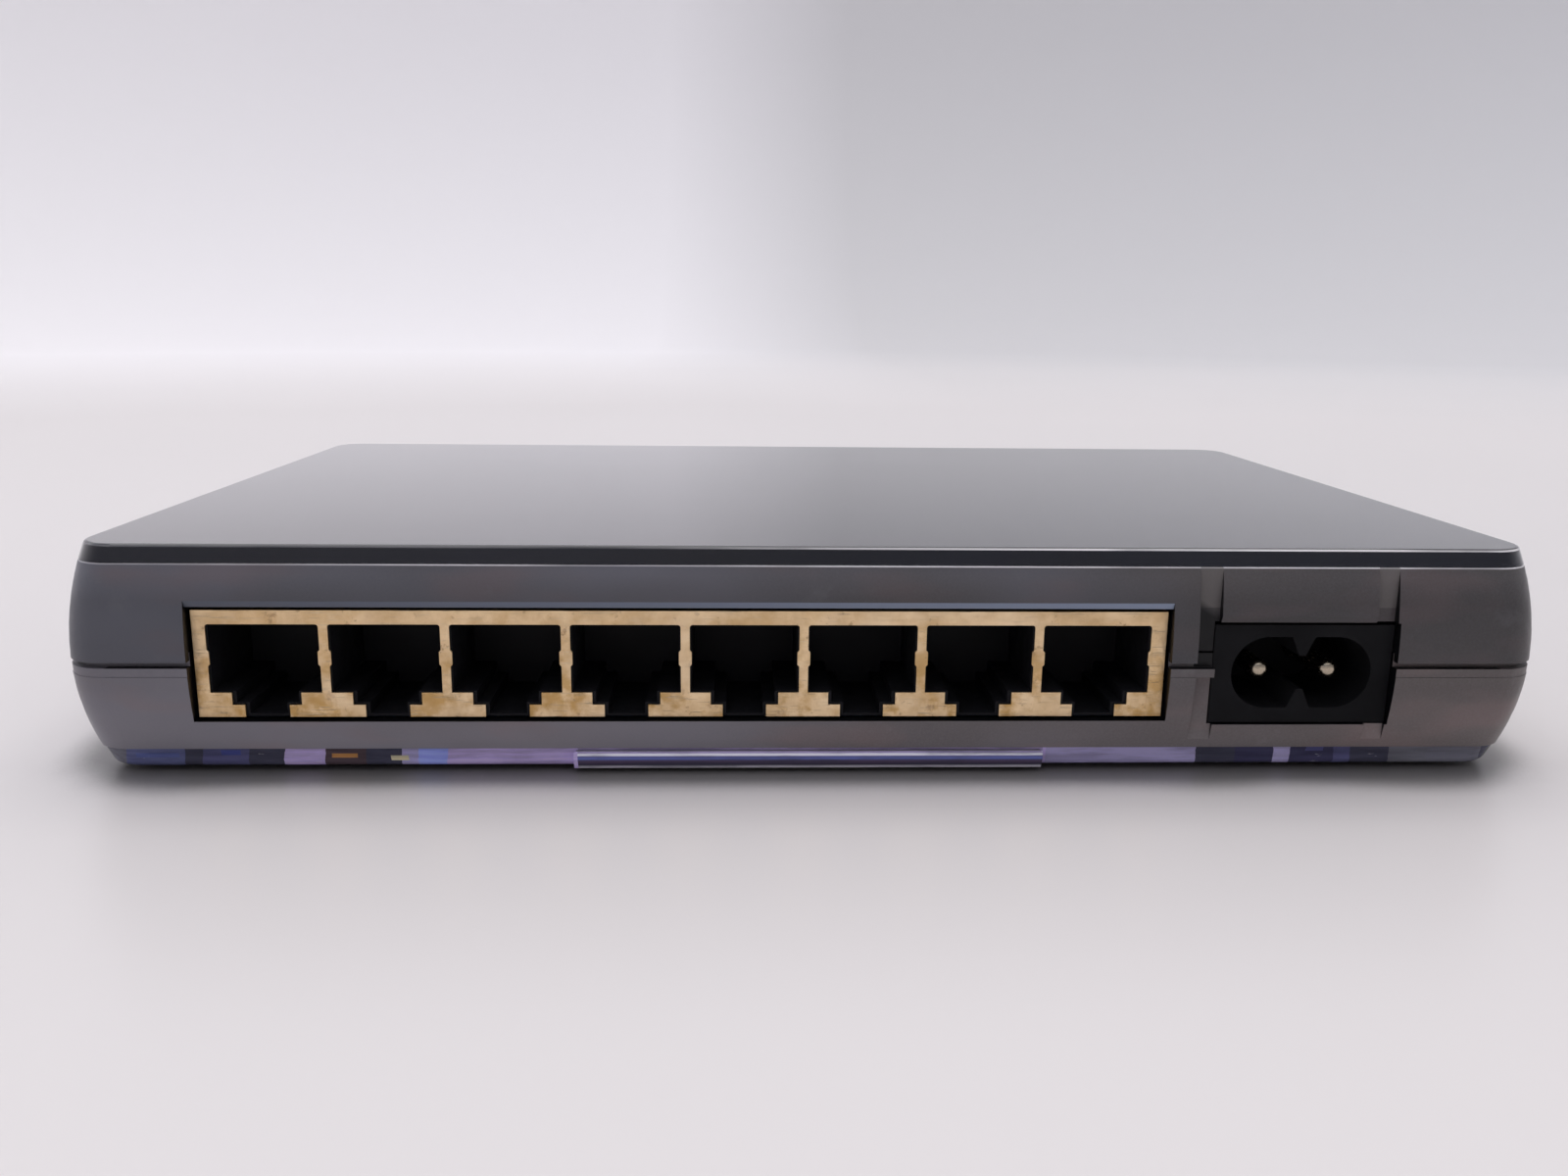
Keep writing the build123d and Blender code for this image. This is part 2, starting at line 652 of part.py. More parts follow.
def spring_bump(edge, side):
    """Small spring with sloping ends that reaches into a window from its side."""
    z = JACK_TOP - BUMP_DROP
    tip = edge - side * BUMP_REACH
    points = [(edge, z - BUMP_HALF_HEIGHT), (tip, z - BUMP_HALF_HEIGHT + BUMP_SLOPE)]
    points += [(tip, z + BUMP_HALF_HEIGHT - BUMP_SLOPE), (edge, z + BUMP_HALF_HEIGHT)]
    face = make_face(Polyline(*points, close=True))
    plane = Plane((0, JACK_FACE, 0), x_dir=(1, 0, 0), z_dir=(0, -1, 0))
    return extrude(plane * face, -SHEET)


def jack_housing():
    """Black insulator behind the sheet, with a stepped cavity and a contact channel per port."""
    clear = SHEET + FIT_ROOM
    x = (SHIELD_X[0] + clear, SHIELD_X[1] - clear)
    y = (JACK_FACE + HOUSING_BEHIND_FACE, HOUSING_BACK)
    housing = block(x, y, (JACK_BOTTOM, JACK_TOP - clear))
    outline = window_outline(
        WINDOW_HALF - HOUSING_INSET,
        JACK_TOP - WINDOW_TOP_DROP - FIT_ROOM,
        JACK_TOP - SHELF_DROP + FIT_ROOM,
        JACK_TOP - STEP_DROP + 2 * FIT_ROOM,
        STEP_HALF - HOUSING_LEDGE,
        LATCH_HALF - HOUSING_LEDGE,
        JACK_BOTTOM + HOUSING_WEB,
    )
    lead_top = JACK_TOP - LEAD_DROP
    for number in range(1, PORTS + 1):
        middle = port_x(number)
        housing = housing - window_cut(number, outline, (JACK_FACE, JACK_FACE + CAVITY_END))
        channel_x = (middle - CHANNEL_HALF, middle + CHANNEL_HALF)
        channel_y = (WIRE_ROOT_Y - CHANNEL_LEAD, HOUSING_BACK + 1)
        channel_low = JACK_TOP - WINDOW_TOP_DROP - 2 * FIT_ROOM
        housing = housing - block(channel_x, channel_y, (channel_low, lead_top))
    return housing


def wire_x(number, index):
    return port_x(number) + (index - (WIRES - 1) / 2) * WIRE_PITCH


def jack_leads():
    """Fixed part of every contact: along the channel, then down the back into the board."""
    leads = []
    top = JACK_TOP - LEAD_DROP
    start = WIRE_ROOT_Y - WIRE / 2
    turn_low = WIRE_ROOT_Z + WIRE / 2 + LEAD_GAP
    for number in range(1, PORTS + 1):
        for index in range(WIRES):
            x = (wire_x(number, index) - WIRE / 2, wire_x(number, index) + WIRE / 2)
            along = block(x, (start, HOUSING_BACK + WIRE), (top - WIRE, top))
            turn = block(x, (start, start + WIRE), (turn_low, top))
            tail = block(x, (HOUSING_BACK, HOUSING_BACK + WIRE), (TAIL_END, top))
            leads.append(along + turn + tail)
    return leads


def port_contacts(number):
    """Eight sprung wires that slope back and down from their root near the port's mouth."""
    wires = []
    for index in range(WIRES):
        x = wire_x(number, index)
        bend = rod_along_x((x - WIRE / 2, x + WIRE / 2), 0, 0, WIRE / 2)
        beam = block((x - WIRE / 2, x + WIRE / 2), (0, WIRE_LENGTH), (-WIRE / 2, WIRE / 2))
        tip = rod_along_x((x - WIRE / 2, x + WIRE / 2), WIRE_LENGTH, 0, WIRE / 2)
        wire = bend + beam + tip
        wires.append(Pos(0, WIRE_ROOT_Y, WIRE_ROOT_Z) * Rot(-WIRE_SLOPE, 0, 0) * wire)
    return wires


# ---------------------------------------------------------------- mains inlet
def recess_outline():
    """Figure of eight: two round lobes with flat tops and a notched neck between them."""
    centre = RECESS_HALF_WIDTH - RECESS_HALF_HEIGHT
    lobe_top = (centre, RECESS_HALF_HEIGHT)
    lobe_bottom = (centre, -RECESS_HALF_HEIGHT)
    neck_top = (RECESS_NECK_HALF, RECESS_NECK)
    neck_bottom = (RECESS_NECK_HALF, -RECESS_NECK)
    right = [Line((0, RECESS_NECK), neck_top), Line(neck_top, (RECESS_FLAT_START, RECESS_HALF_HEIGHT))]
    right.append(Line((RECESS_FLAT_START, RECESS_HALF_HEIGHT), lobe_top))
    right.append(ThreePointArc(lobe_top, (RECESS_HALF_WIDTH, 0), lobe_bottom))
    right.append(Line(lobe_bottom, (RECESS_FLAT_START, -RECESS_HALF_HEIGHT)))
    right.append(Line((RECESS_FLAT_START, -RECESS_HALF_HEIGHT), neck_bottom))
    right.append(Line(neck_bottom, (0, -RECESS_NECK)))
    left = [edge.mirror(Plane.YZ) for edge in right]
    return make_face(Curve() + right + left)


def inlet_body():
    half = INLET_FACE_WIDTH / 2
    x = (INLET_X - half, INLET_X + half)
    flange = block(x, (INLET_FACE, INLET_FACE + INLET_FLANGE), (INLET_BOTTOM, INLET_TOP))
    half = INLET_BODY_WIDTH / 2
    x = (INLET_X - half, INLET_X + half)
    back = INLET_FACE + INLET_FLANGE + INLET_BODY_DEPTH
    body = flange + block(x, (INLET_FACE + INLET_FLANGE, back), (BOARD_TOP, INLET_TOP - 0.7))
    face = Plane((INLET_X, INLET_FACE, RECESS_Z), x_dir=(1, 0, 0), z_dir=(0, -1, 0)) * recess_outline()
    body = body - extrude(face, -RECESS_DEPTH)
    for side in (-1, 1):
        y = (INLET_FACE + RECESS_DEPTH - 1, back + 1)
        body = body - rod_along_y(PINS_X + side * PIN_PITCH / 2, PIN_Z, y, PIN_RADIUS)
    return body


def inlet_pins():
    """Round pins with domed tips that run out of the back of the inlet and down into the board."""
    pins = []
    tip = INLET_FACE + PIN_TIP_DEPTH
    back = INLET_FACE + INLET_FLANGE + INLET_BODY_DEPTH
    for side in (-1, 1):
        x = PINS_X + side * PIN_PITCH / 2
        pin = rod_along_y(x, PIN_Z, (tip, back), PIN_RADIUS)
        front = pin.edges().filter_by(GeomType.CIRCLE).sort_by(Axis.Y)[0]
        pin = fillet(front, PIN_TIP_ROUND)
        tab_x = (x - PIN_TAB_HALF, x + PIN_TAB_HALF)
        tab = block(tab_x, (back, back + PIN_TAB), (TAIL_END, PIN_Z + PIN_TAB_HALF))
        pins.append(pin + tab)
    return pins


# ---------------------------------------------------------------- board
def main_board():
    """Board with holes for the screws, the contact tails and the inlet's tabs."""
    size = (2 * BOARD_HALF_WIDTH, 2 * BOARD_HALF_DEPTH, BOARD_THICK)
    board = stand(0, 0, BOARD_BOTTOM, size)
    board = fillet(board.edges().filter_by(Axis.Z), BOARD_CORNER)
    for x, y in corners(BOSS_X, BOSS_Y):
        board = board - post(x, y, 0, BOARD_TOP + 1, SCREW_HOLE + 2 * FIT_ROOM)
    room = 3 * FIT_ROOM
    row = (WIRES - 1) * WIRE_PITCH + WIRE + room
    for number in range(1, PORTS + 1):
        slot_size = (row, WIRE + room, BOARD_THICK + 2)
        board = board - stand(port_x(number), HOUSING_BACK + WIRE / 2, BOARD_BOTTOM - 1, slot_size)
    back = INLET_FACE + INLET_FLANGE + INLET_BODY_DEPTH
    for side in (-1, 1):
        x = PINS_X + side * PIN_PITCH / 2
        slot_size = (2 * PIN_TAB_HALF + room, PIN_TAB + room, BOARD_THICK + 2)
        board = board - stand(x, back + PIN_TAB / 2, BOARD_BOTTOM - 1, slot_size)
    return board


def on_board(place, size, lift=0):
    """Box of the given size on the board, or a little above it."""
    return stand(place[0], place[1], BOARD_TOP + lift, size)


def chip(place, size, leg_rows, leg_pitch):
    """Moulded chip with a bevelled top and flat legs that run out along x, y or both."""
    x, y = place
    body = on_board(place, size, CHIP_STAND_OFF)
    body = chamfer(level_edges(body, BOARD_TOP + CHIP_STAND_OFF + size[2]), CHIP_BEVEL)
    legs = []
    width = leg_pitch * LEG_SHARE
    for row_along_x in leg_rows:
        span = size[0] if row_along_x else size[1]
        count = int((span - 1) / leg_pitch)
        for index in range(count):
            step = (index - (count - 1) / 2) * leg_pitch
            if row_along_x:
                legs.append(on_board((x + step, y), (width, size[1] + 2 * LEG_REACH, LEG_THICK)))
            else:
                legs.append(on_board((x, y + step), (size[0] + 2 * LEG_REACH, width, LEG_THICK)))
    return union([body] + legs)


def can_capacitor(place, can):
    """Round upright capacitor with a rolled groove near its base."""
    x, y = place
    radius, height = can
    body = post(x, y, BOARD_TOP, BOARD_TOP + height, radius)
    body = fillet(level_edges(body, BOARD_TOP + height), CAN_ROUND)
    low, high = BOARD_TOP + CAN_GROOVE_LOW, BOARD_TOP + CAN_GROOVE_HIGH
    ring = post(x, y, low, high, radius + 1) - post(x, y, low - 1, high + 1, radius - CAN_GROOVE)
    return body - ring


def magnetics_modules():
    """One isolating module behind every pair of ports."""
    modules = []
    for first in range(1, PORTS, 2):
        x = (port_x(first) + port_x(first + 1)) / 2
        modules.append(chip((x, MODULE_Y), MODULE_SIZE, [True], LEG_COMMON))
    return modules


def switch_heat_sink():
    """Finned heat sink on the switch chip."""
    sink = on_board(SWITCH_PLACE, (SINK_SIZE[0], SINK_SIZE[1], SINK_BASE), SINK_ABOVE_BOARD)
    gap = SINK_SIZE[0] / SINK_FINS
    fin = (SINK_FIN, SINK_SIZE[1], SINK_SIZE[2] - SINK_BASE)
    for index in range(SINK_FINS):
        x = SWITCH_PLACE[0] + (index - (SINK_FINS - 1) / 2) * gap
        sink = sink + on_board((x, SWITCH_PLACE[1]), fin, SINK_ABOVE_BOARD + SINK_BASE)
    return sink


def crystal():
    can = on_board(CRYSTAL_PLACE, CRYSTAL_SIZE)
    return fillet(can.edges().filter_by(Axis.Z), CRYSTAL_ROUND)


def power_inductors():
    coils = []
    for place in INDUCTOR_PLACES:
        core = on_board(place, INDUCTOR_SIZE)
        coils.append(chamfer(core.edges().filter_by(Axis.Z), INDUCTOR_CORNER))
    return coils


def chip_capacitors():
    found = []
    for index in range(CHIP_CAPACITORS_IN_ROW):
        x = CHIP_CAPACITOR_START + index * CHIP_CAPACITOR_PITCH
        for y in CHIP_CAPACITOR_ROWS:
            found.append(on_board((x, y), CHIP_CAPACITOR))
    return found


def chip_resistors():
    """One beside every status light and a row between the magnetics and the switch chip."""
    found = []
    turned = (CHIP_RESISTOR[1], CHIP_RESISTOR[0], CHIP_RESISTOR[2])
    for index in range(LEDS):
        beside_led = (led_x(index) + RESISTOR_BESIDE_LED, HALF_DEPTH - RESISTOR_FROM_EDGE)
        in_row = (RESISTOR_ROW_START + index * RESISTOR_ROW_PITCH, RESISTOR_ROW_Y)
        found.append(on_board(beside_led, CHIP_RESISTOR))
        found.append(on_board(in_row, turned))
    return found


def fuse_clips():
    clips = []
    for y in (FUSE_Y[0] + FUSE_CLIP_INSET, FUSE_Y[1] - FUSE_CLIP_INSET):
        clip = on_board((FUSE_X, y), FUSE_CLIP_SIZE)
        span = (y - FUSE_CLIP_SIZE[1], y + FUSE_CLIP_SIZE[1])
        clips.append(clip - rod_along_y(FUSE_X, BOARD_TOP + FUSE_HEIGHT, span, FUSE_RADIUS + FUSE_CLIP_ROOM))
    return clips


def choke_core():
    x, y = CHOKE_PLACE
    low = BOARD_TOP + CHOKE_STAND_OFF
    ring = post(x, y, low, low + CHOKE_HEIGHT, CHOKE_RADII[1])
    return ring - post(x, y, low - 1, low + CHOKE_HEIGHT + 1, CHOKE_RADII[0])


def choke_windings():
    """Two coils around the choke's ring, each as one block of its outer shape."""
    x, y = CHOKE_PLACE
    low = BOARD_TOP + CHOKE_STAND_OFF - CHOKE_WIRE
    high = BOARD_TOP + CHOKE_STAND_OFF + CHOKE_HEIGHT + CHOKE_WIRE
    whole = post(x, y, low, high, CHOKE_RADII[1] + CHOKE_WIRE)
    whole = whole - post(x, y, low - 1, high + 1, CHOKE_RADII[0] - CHOKE_WIRE) - choke_core()
    return [whole & on_board((x + side * CHOKE_COIL_OFFSET, y), CHOKE_COIL_SIZE) for side in (-1, 1)]


def bulk_capacitor():
    """Large capacitor laid on its side along y."""
    x, y = BULK_PLACE
    radius, length = BULK_CAN
    can = rod_along_y(x, BOARD_TOP + radius, (y - length / 2, y + length / 2), radius)
    return fillet(can.edges().filter_by(GeomType.CIRCLE), BULK_ROUND)


def transformer_sides(height, room):
    """Blocks that fill the two windows of the transformer's core."""
    x, y = TRANSFORMER_PLACE
    width = TRANSFORMER_SIZE[0] * TRANSFORMER_WINDOW_SHARE
    size = (width - room, TRANSFORMER_SIZE[1] - 2 * TRANSFORMER_END - room, height)
    return [on_board((x + side * width, y), size, TRANSFORMER_STAND_OFF) for side in (-1, 1)]


def transformer_core():
    """Ferrite frame with a centre leg."""
    frame = on_board(TRANSFORMER_PLACE, TRANSFORMER_SIZE, TRANSFORMER_STAND_OFF)
    for window in transformer_sides(TRANSFORMER_SIZE[2], 0):
        frame = frame - window
    return frame


def transformer_bobbin():
    length = TRANSFORMER_SIZE[1] - 2 * TRANSFORMER_END - TRANSFORMER_ROOM
    width = TRANSFORMER_SIZE[0] * TRANSFORMER_BOBBIN_SHARE - TRANSFORMER_ROOM
    return on_board(TRANSFORMER_PLACE, (width, length, TRANSFORMER_STAND_OFF))


def output_inductor():
    """Drum core with a narrow waist."""
    x, y = DRUM_PLACE
    high = BOARD_TOP + DRUM_HEIGHT
    drum = post(x, y, BOARD_TOP, high, DRUM_RADIUS)
    ring = post(x, y, BOARD_TOP + DRUM_FLANGE, high - DRUM_FLANGE, DRUM_RADIUS + 1)
    return drum - (ring - post(x, y, BOARD_TOP, high, DRUM_WAIST))


def add_switch_side():
    """The data side of the board."""
    sides = [True, False]
    save("magnetics_modules", *magnetics_modules())
    save("switch_chip", chip(SWITCH_PLACE, SWITCH_SIZE, sides, LEG_FINE))
    save("switch_heat_sink", switch_heat_sink())
    save("memory_chip", chip(MEMORY_PLACE, MEMORY_SIZE, [True], LEG_COMMON))
    save("crystal", crystal())
    save("filter_capacitors", *[can_capacitor(place, FILTER_CAN) for place in FILTER_PLACES])
    save("power_inductors", *power_inductors())
    save("regulator_chip", chip(REGULATOR_PLACE, REGULATOR_SIZE, [True], LEG_REGULATOR))
    save("chip_capacitors", *chip_capacitors())
    save("chip_resistors", *chip_resistors())


def add_power_side():
    """The mains supply, from the inlet back along the right-hand side."""
    save("mains_fuse", rod_along_y(FUSE_X, BOARD_TOP + FUSE_HEIGHT, FUSE_Y, FUSE_RADIUS))
    save("fuse_clips", *fuse_clips())
    film = on_board(FILM_PLACE, FILM_SIZE)
    save("mains_filter_capacitor", fillet(film.edges().filter_by(Axis.Z), FILM_ROUND))
    save("choke_core", choke_core())
    save("choke_windings", *choke_windings())
    bridge = on_board(BRIDGE_PLACE, BRIDGE_SIZE)
    save("bridge_rectifier", fillet(bridge.edges().filter_by(Axis.Z), BRIDGE_ROUND))
    save("bulk_capacitor", bulk_capacitor())
    save("supply_controller", chip(CONTROLLER_PLACE, CONTROLLER_SIZE, [True], LEG_WIDE))
    save("optocoupler", chip(OPTO_PLACE, OPTO_SIZE, [False], LEG_WIDE))
    save("transformer_core", transformer_core())
    save("transformer_bobbin", transformer_bobbin())
    save("transformer_winding", *transformer_sides(TRANSFORMER_SIZE[2] + WINDING_RISE, TRANSFORMER_ROOM))
    save("output_capacitors", *[can_capacitor(place, OUTPUT_CAN) for place in OUTPUT_CAN_PLACES])
    save("output_inductor", output_inductor())
    save("diode_heat_sink", on_board(DIODE_SINK_PLACE, DIODE_SINK_SIZE))
    save("output_diode", on_board(DIODE_PLACE, DIODE_SIZE, DIODE_STAND_OFF))
    sheet_z = (FLOOR_TOP + SHEET_ABOVE_FLOOR[0], FLOOR_TOP + SHEET_ABOVE_FLOOR[1])
    save("insulation_sheet", block(SHEET_X, SHEET_Y, sheet_z))


# ---------------------------------------------------------------- assembly
save("top_plate", top_plate())
save("upper_shell", upper_shell())
save("lower_shell", lower_shell())
save("rubber_feet", *rubber_feet())
save("case_screws", *case_screws())
save("rating_label", label())
save("led_window", led_window())
save("light_guide", light_guide())
save("status_leds", *status_leds())
save("jack_shield", jack_shield())
save("jack_housing", jack_housing())
save("jack_leads", *jack_leads())
for port in range(1, PORTS + 1):
    save(f"port_{port}_contacts", *port_contacts(port))
save("inlet_body", inlet_body())
save("inlet_pins", *inlet_pins())
save("main_board", main_board())
add_switch_side()
add_power_side()

os.makedirs("parts", exist_ok=True)
for name, shape in parts.items():
    export_step(shape, f"parts/{name}.step")
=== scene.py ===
from math import asin, cos, pi, radians, sin

import bmesh
import bpy
from mathutils import Matrix, Vector


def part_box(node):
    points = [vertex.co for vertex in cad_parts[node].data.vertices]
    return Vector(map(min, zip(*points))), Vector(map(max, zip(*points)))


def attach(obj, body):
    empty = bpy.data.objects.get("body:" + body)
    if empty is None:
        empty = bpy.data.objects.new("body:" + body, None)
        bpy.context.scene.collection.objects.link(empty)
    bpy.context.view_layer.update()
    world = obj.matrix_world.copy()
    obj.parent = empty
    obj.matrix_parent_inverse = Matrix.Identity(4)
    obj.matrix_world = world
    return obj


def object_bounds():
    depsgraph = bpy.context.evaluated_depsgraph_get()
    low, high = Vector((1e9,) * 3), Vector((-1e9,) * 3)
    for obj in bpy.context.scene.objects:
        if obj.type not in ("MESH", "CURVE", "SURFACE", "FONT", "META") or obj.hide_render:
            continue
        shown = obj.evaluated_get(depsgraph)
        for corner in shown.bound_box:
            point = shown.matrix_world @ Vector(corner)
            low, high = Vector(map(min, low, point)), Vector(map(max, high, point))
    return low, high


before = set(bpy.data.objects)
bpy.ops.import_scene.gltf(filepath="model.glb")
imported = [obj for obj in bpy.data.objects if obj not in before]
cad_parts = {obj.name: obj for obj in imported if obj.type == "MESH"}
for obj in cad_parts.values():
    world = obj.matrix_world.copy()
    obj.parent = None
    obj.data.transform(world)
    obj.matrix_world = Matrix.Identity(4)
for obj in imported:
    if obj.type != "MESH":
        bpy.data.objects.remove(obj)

cad_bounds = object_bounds()

# ---------------------------------------------------------------- driving values
MM = 0.001
BODY_LOW, BODY_HIGH = cad_bounds
PLATE_LOW, PLATE_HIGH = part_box("top_plate")
SHIELD_LOW, SHIELD_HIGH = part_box("jack_shield")

# Camera: place in metres, angles in degrees
CAMERA_PLACE = (-0.00976, -0.19728, 0.0557)
CAMERA_PITCH = 12.72
CAMERA_YAW = 2.29
CAMERA_ROLL = 0.67
CAMERA_LENS = 29.25
CAMERA_SENSOR = 36.0
CAMERA_NEAR = 0.01

# Light: the room is bright behind and above, dim in front, cool at the left and warm at the right
TOP_PLACE = (0.0, 0.35, 1.7)
TOP_POWER = 15.0
TOP_SIZE = (2.0, 1.3)
TOP_TINT = (1.0, 0.985, 0.98)
SKY_STRENGTH = 1.2
SKY_LEFT = (0.93, 0.94, 1.0)
SKY_RIGHT = (0.76, 0.74, 0.75)
DARK_LEFT = (0.12, 0.145, 0.21)
DARK_RIGHT = (0.10, 0.105, 0.12)
SKY_BEHIND = (-0.1, 0.45)
SKY_ABOVE = (0.45, 0.95)
SKY_SIDE = (-0.8, 0.8)

# Stage: a round floor with a contact shadow, and a backdrop with painted shade that darkens it from left to
# right and towards the front
FLOOR_TINT = (0.665, 0.635, 0.635)
FLOOR_ROUGH = (0.0, 0.9, 0.28, 0.7)
# Painted shade: the backdrop darker to the right and towards the front
WALL_LEFT = (0.94, 0.92, 0.94)
WALL_RIGHT = (0.70, 0.69, 0.70)
WALL_FADE = (-0.1, 0.14)
WALL_FRONT_SHADE = (-0.8, 0.1, 0.55, 1.0)
CONTACT_REACH = 0.014
CONTACT_AIR = (0.6, 0.77)
CONTACT_SHADE = 0.3
CONTACT_SAMPLES = 16
FLOOR_HUB = 0.5
BACKDROP_SIDES = 96
BACKDROP_STEPS = 12
BACKDROP_PLACE = 1.2
BACKDROP_BEND = 0.45
BACKDROP_RISE = 0.8

# Numbers over the status lights of the ports, on the bulging side away from them, in metres
PORTS = 8
LIGHTS_PITCH = 0.0105
LIGHTS_MIDDLE = -0.0155
BULGE_RADIUS = 0.045
BULGE_HEIGHT = 0.0144
NUMBER_HEIGHT = 0.0219
NUMBER_SIZE = 0.003
NUMBER_THICK = 0.00001
NUMBER_LIFT = 0.00002

# Top plate: colours, the chipped rim, and the painted highlight along its near edge. Lengths are in metres
PLATE_TINTS = ((0.006, 0.007, 0.012), (0.011, 0.013, 0.022))
PLATE_CHIP = (0.32, 0.33, 0.35)
PLATE_HIGHLIGHT = (PLATE_HIGH.z - 0.00032, PLATE_HIGH.z - 0.00012)
PLATE_HIGHLIGHT_GROWS = (-0.03, 0.03, 0.15)
RIM_DEEP = 0.0006
RIM_NEAR = 0.0003
RIM_FAR = 0.0016
CHIPS_FROM_X = (0.06, 0.083)
CHIPS_FROM_Y = (0.0, 0.05)
# Colour of the painted highlights along the near top edges of the plate and the upper shell
EDGE_HIGHLIGHT_TINT = (0.85, 0.83, 0.85)

# Shells: tints, then the painted light: cooler and lighter at the left end, warmer and darker at the right
# end, lighter towards the bottom of the lower shell and towards the top of the upper shell
UPPER_TINT = (0.08, 0.08, 0.086)
LOWER_TINT = (0.13, 0.123, 0.126)
COOL_LIT_END = (1.42, 1.44, 1.62)
WARM_DIM_END = (0.92, 0.84, 0.80)
LOWER_BOTTOM_LIGHT = (0.0045, 0.011, 1.6, 1.1)
UPPER_TOP_LIGHT = (0.0215, 0.0245, 1.0, 1.35)
EDGE_RADIUS = 0.00007
EDGE_SAMPLES = 6

# Side with the ports: walls of the openings with painted shade, polished strip over the ports with a painted
# reflection and a painted highlight, grooves beside the inlet
PORT_SIDE_Y = -0.045
WALLS_HALF_X = 0.082
WALLS_LOW = 0.0035
WALLS_HIGH = 0.0254
# Painted shade on the walls of the openings, grooves and seam
WALLS_SHADE = (0.004, 0.004, 0.005)
OPENING_GAP = 0.00035
OPENING_LEFT = SHIELD_LOW.x - OPENING_GAP
OPENING_RIGHT = SHIELD_HIGH.x + OPENING_GAP
LIP_LOW = SHIELD_HIGH.z + 0.0004
LIP_HIGH = SHIELD_HIGH.z + 0.0013
# Painted reflection in the polished strip over the ports: dim at the left, pale blue at the right
LIP_REFLECTION_TINTS = ((0.1, 0.11, 0.14), (0.26, 0.31, 0.42))
# Painted highlight along the upper shell's top edge, under the plate
SHELL_HIGHLIGHT = PLATE_LOW.z - 0.00011
SHELL_HIGHLIGHT_GROWS = (-0.08, -0.03, 0.4)
TARNISH_FADE = (0.009, 0.019, 1.5, 0.5)
DIM_LEFT = 0.04509
DIM_RIGHT = 0.04779
DIM_TOP = 0.0208
DIM_SOFT = 0.0012
DIM_LEAN = 0.6
DIM_LOW = 0.0136
# Dark of the inlet's body through the thin groove floor, with painted shadow at its soft top
DIM_TINT = (0.003, 0.003, 0.004)
GROOVE_LEFT = 0.06654
GROOVE_RIGHT = 0.06899
GROOVE_FLOOR = -0.05305
GROOVE_LIFT = (2.0, 1.85, 1.65)

# Clear strip along the bottom edge: size, then the painted colours of the light and the things inside that
# show through it, with painted light towards its bottom and painted glints
BAND_TOP = 0.00327
BAND_SOFT = 0.0001
BAND_FACING = 0.93
BAND_SLANT = 1.5
BAND_WOBBLE = 0.003
# Painted light: the strip lighter towards its bottom
BAND_BOTTOM_LIGHT = (0.0008, 0.0021, 1.5, 1.0)
BAND_DARK = (0.05, 0.05, 0.078)
BAND_NAVY = (0.042, 0.04, 0.085)
BAND_INDIGO = (0.08, 0.08, 0.17)
BAND_SLATE = (0.13, 0.13, 0.155)
BAND_HAZE = (0.13, 0.13, 0.16)
BAND_BLUE = (0.1, 0.11, 0.22)
BAND_SKY = (0.30, 0.35, 0.78)
BAND_LAVENDER = (0.43, 0.35, 0.60)
BAND_PALE = (0.33, 0.30, 0.49)
BAND_BROWN = (0.07, 0.05, 0.06)
# Colour of the painted glints in the strip
BAND_GLINT = (0.8, 0.8, 0.9)
# Blocks of colour from left to right: left end in millimetres, colour
BAND_BLOCKS = (
    (-87.5, BAND_HAZE), (-81.4, BAND_BLUE), (-74.7, BAND_DARK), (-72.8, BAND_INDIGO), (-67.6, BAND_DARK),
    (-63.1, BAND_LAVENDER), (-58.3, BAND_BROWN), (-53.8, BAND_DARK), (-49.7, BAND_PALE), (-47.4, BAND_SKY),
    (-44.2, BAND_LAVENDER), (27.7, BAND_PALE), (46.2, BAND_DARK), (50.8, BAND_NAVY), (55.6, BAND_PALE),
    (58.1, BAND_NAVY), (63.1, BAND_INDIGO), (65.5, BAND_DARK), (69.8, BAND_SLATE), (74.6, BAND_HAZE),
    (82.0, BAND_DARK),
)
# Small coloured streaks in the bottom strip: low x, high x, low z, high z in millimetres, colour
BAND_STREAKS = (
    (-57.6, -54.6, 1.9, 2.5, (0.42, 0.2, 0.07)),
    (-50.6, -48.6, 1.5, 2.2, (0.5, 0.45, 0.3)),
    (-80.5, -75.5, 2.0, 2.6, (0.09, 0.11, 0.27)),
    (-70.5, -68.2, 2.3, 3.0, (0.06, 0.07, 0.24)),
    (60.2, 62.4, 2.6, 3.2, (0.08, 0.08, 0.2)),
)

# Clear pad in front of the label: place, then its lines of colour as (share of the height, colour), with
# painted highlights on its bottom edge and its top ledge
PAD_LEFT = -0.0284
PAD_RIGHT = 0.0277
PAD_LOW = 0.0006
PAD_HIGH = 0.0033
PAD_STOPS = (
    (0.0, (0.6, 0.58, 0.62)), (0.1, (0.45, 0.43, 0.5)), (0.17, (0.04, 0.035, 0.06)),
    (0.4, (0.1, 0.07, 0.13)), (0.52, (0.10, 0.13, 0.36)), (0.63, (0.1, 0.1, 0.26)),
    (0.67, (0.72, 0.72, 0.8)), (0.74, (0.72, 0.72, 0.8)), (0.78, (0.3, 0.25, 0.42)),
)

# Ruled lines of the label: places and widths as shares of its length and width
LABEL_COLUMNS = (0.04, 0.5, 0.96)
LABEL_ROWS = (0.06, 0.28, 0.5, 0.72, 0.94)
COLUMN_WIDTH = 0.006
ROW_WIDTH = 0.008

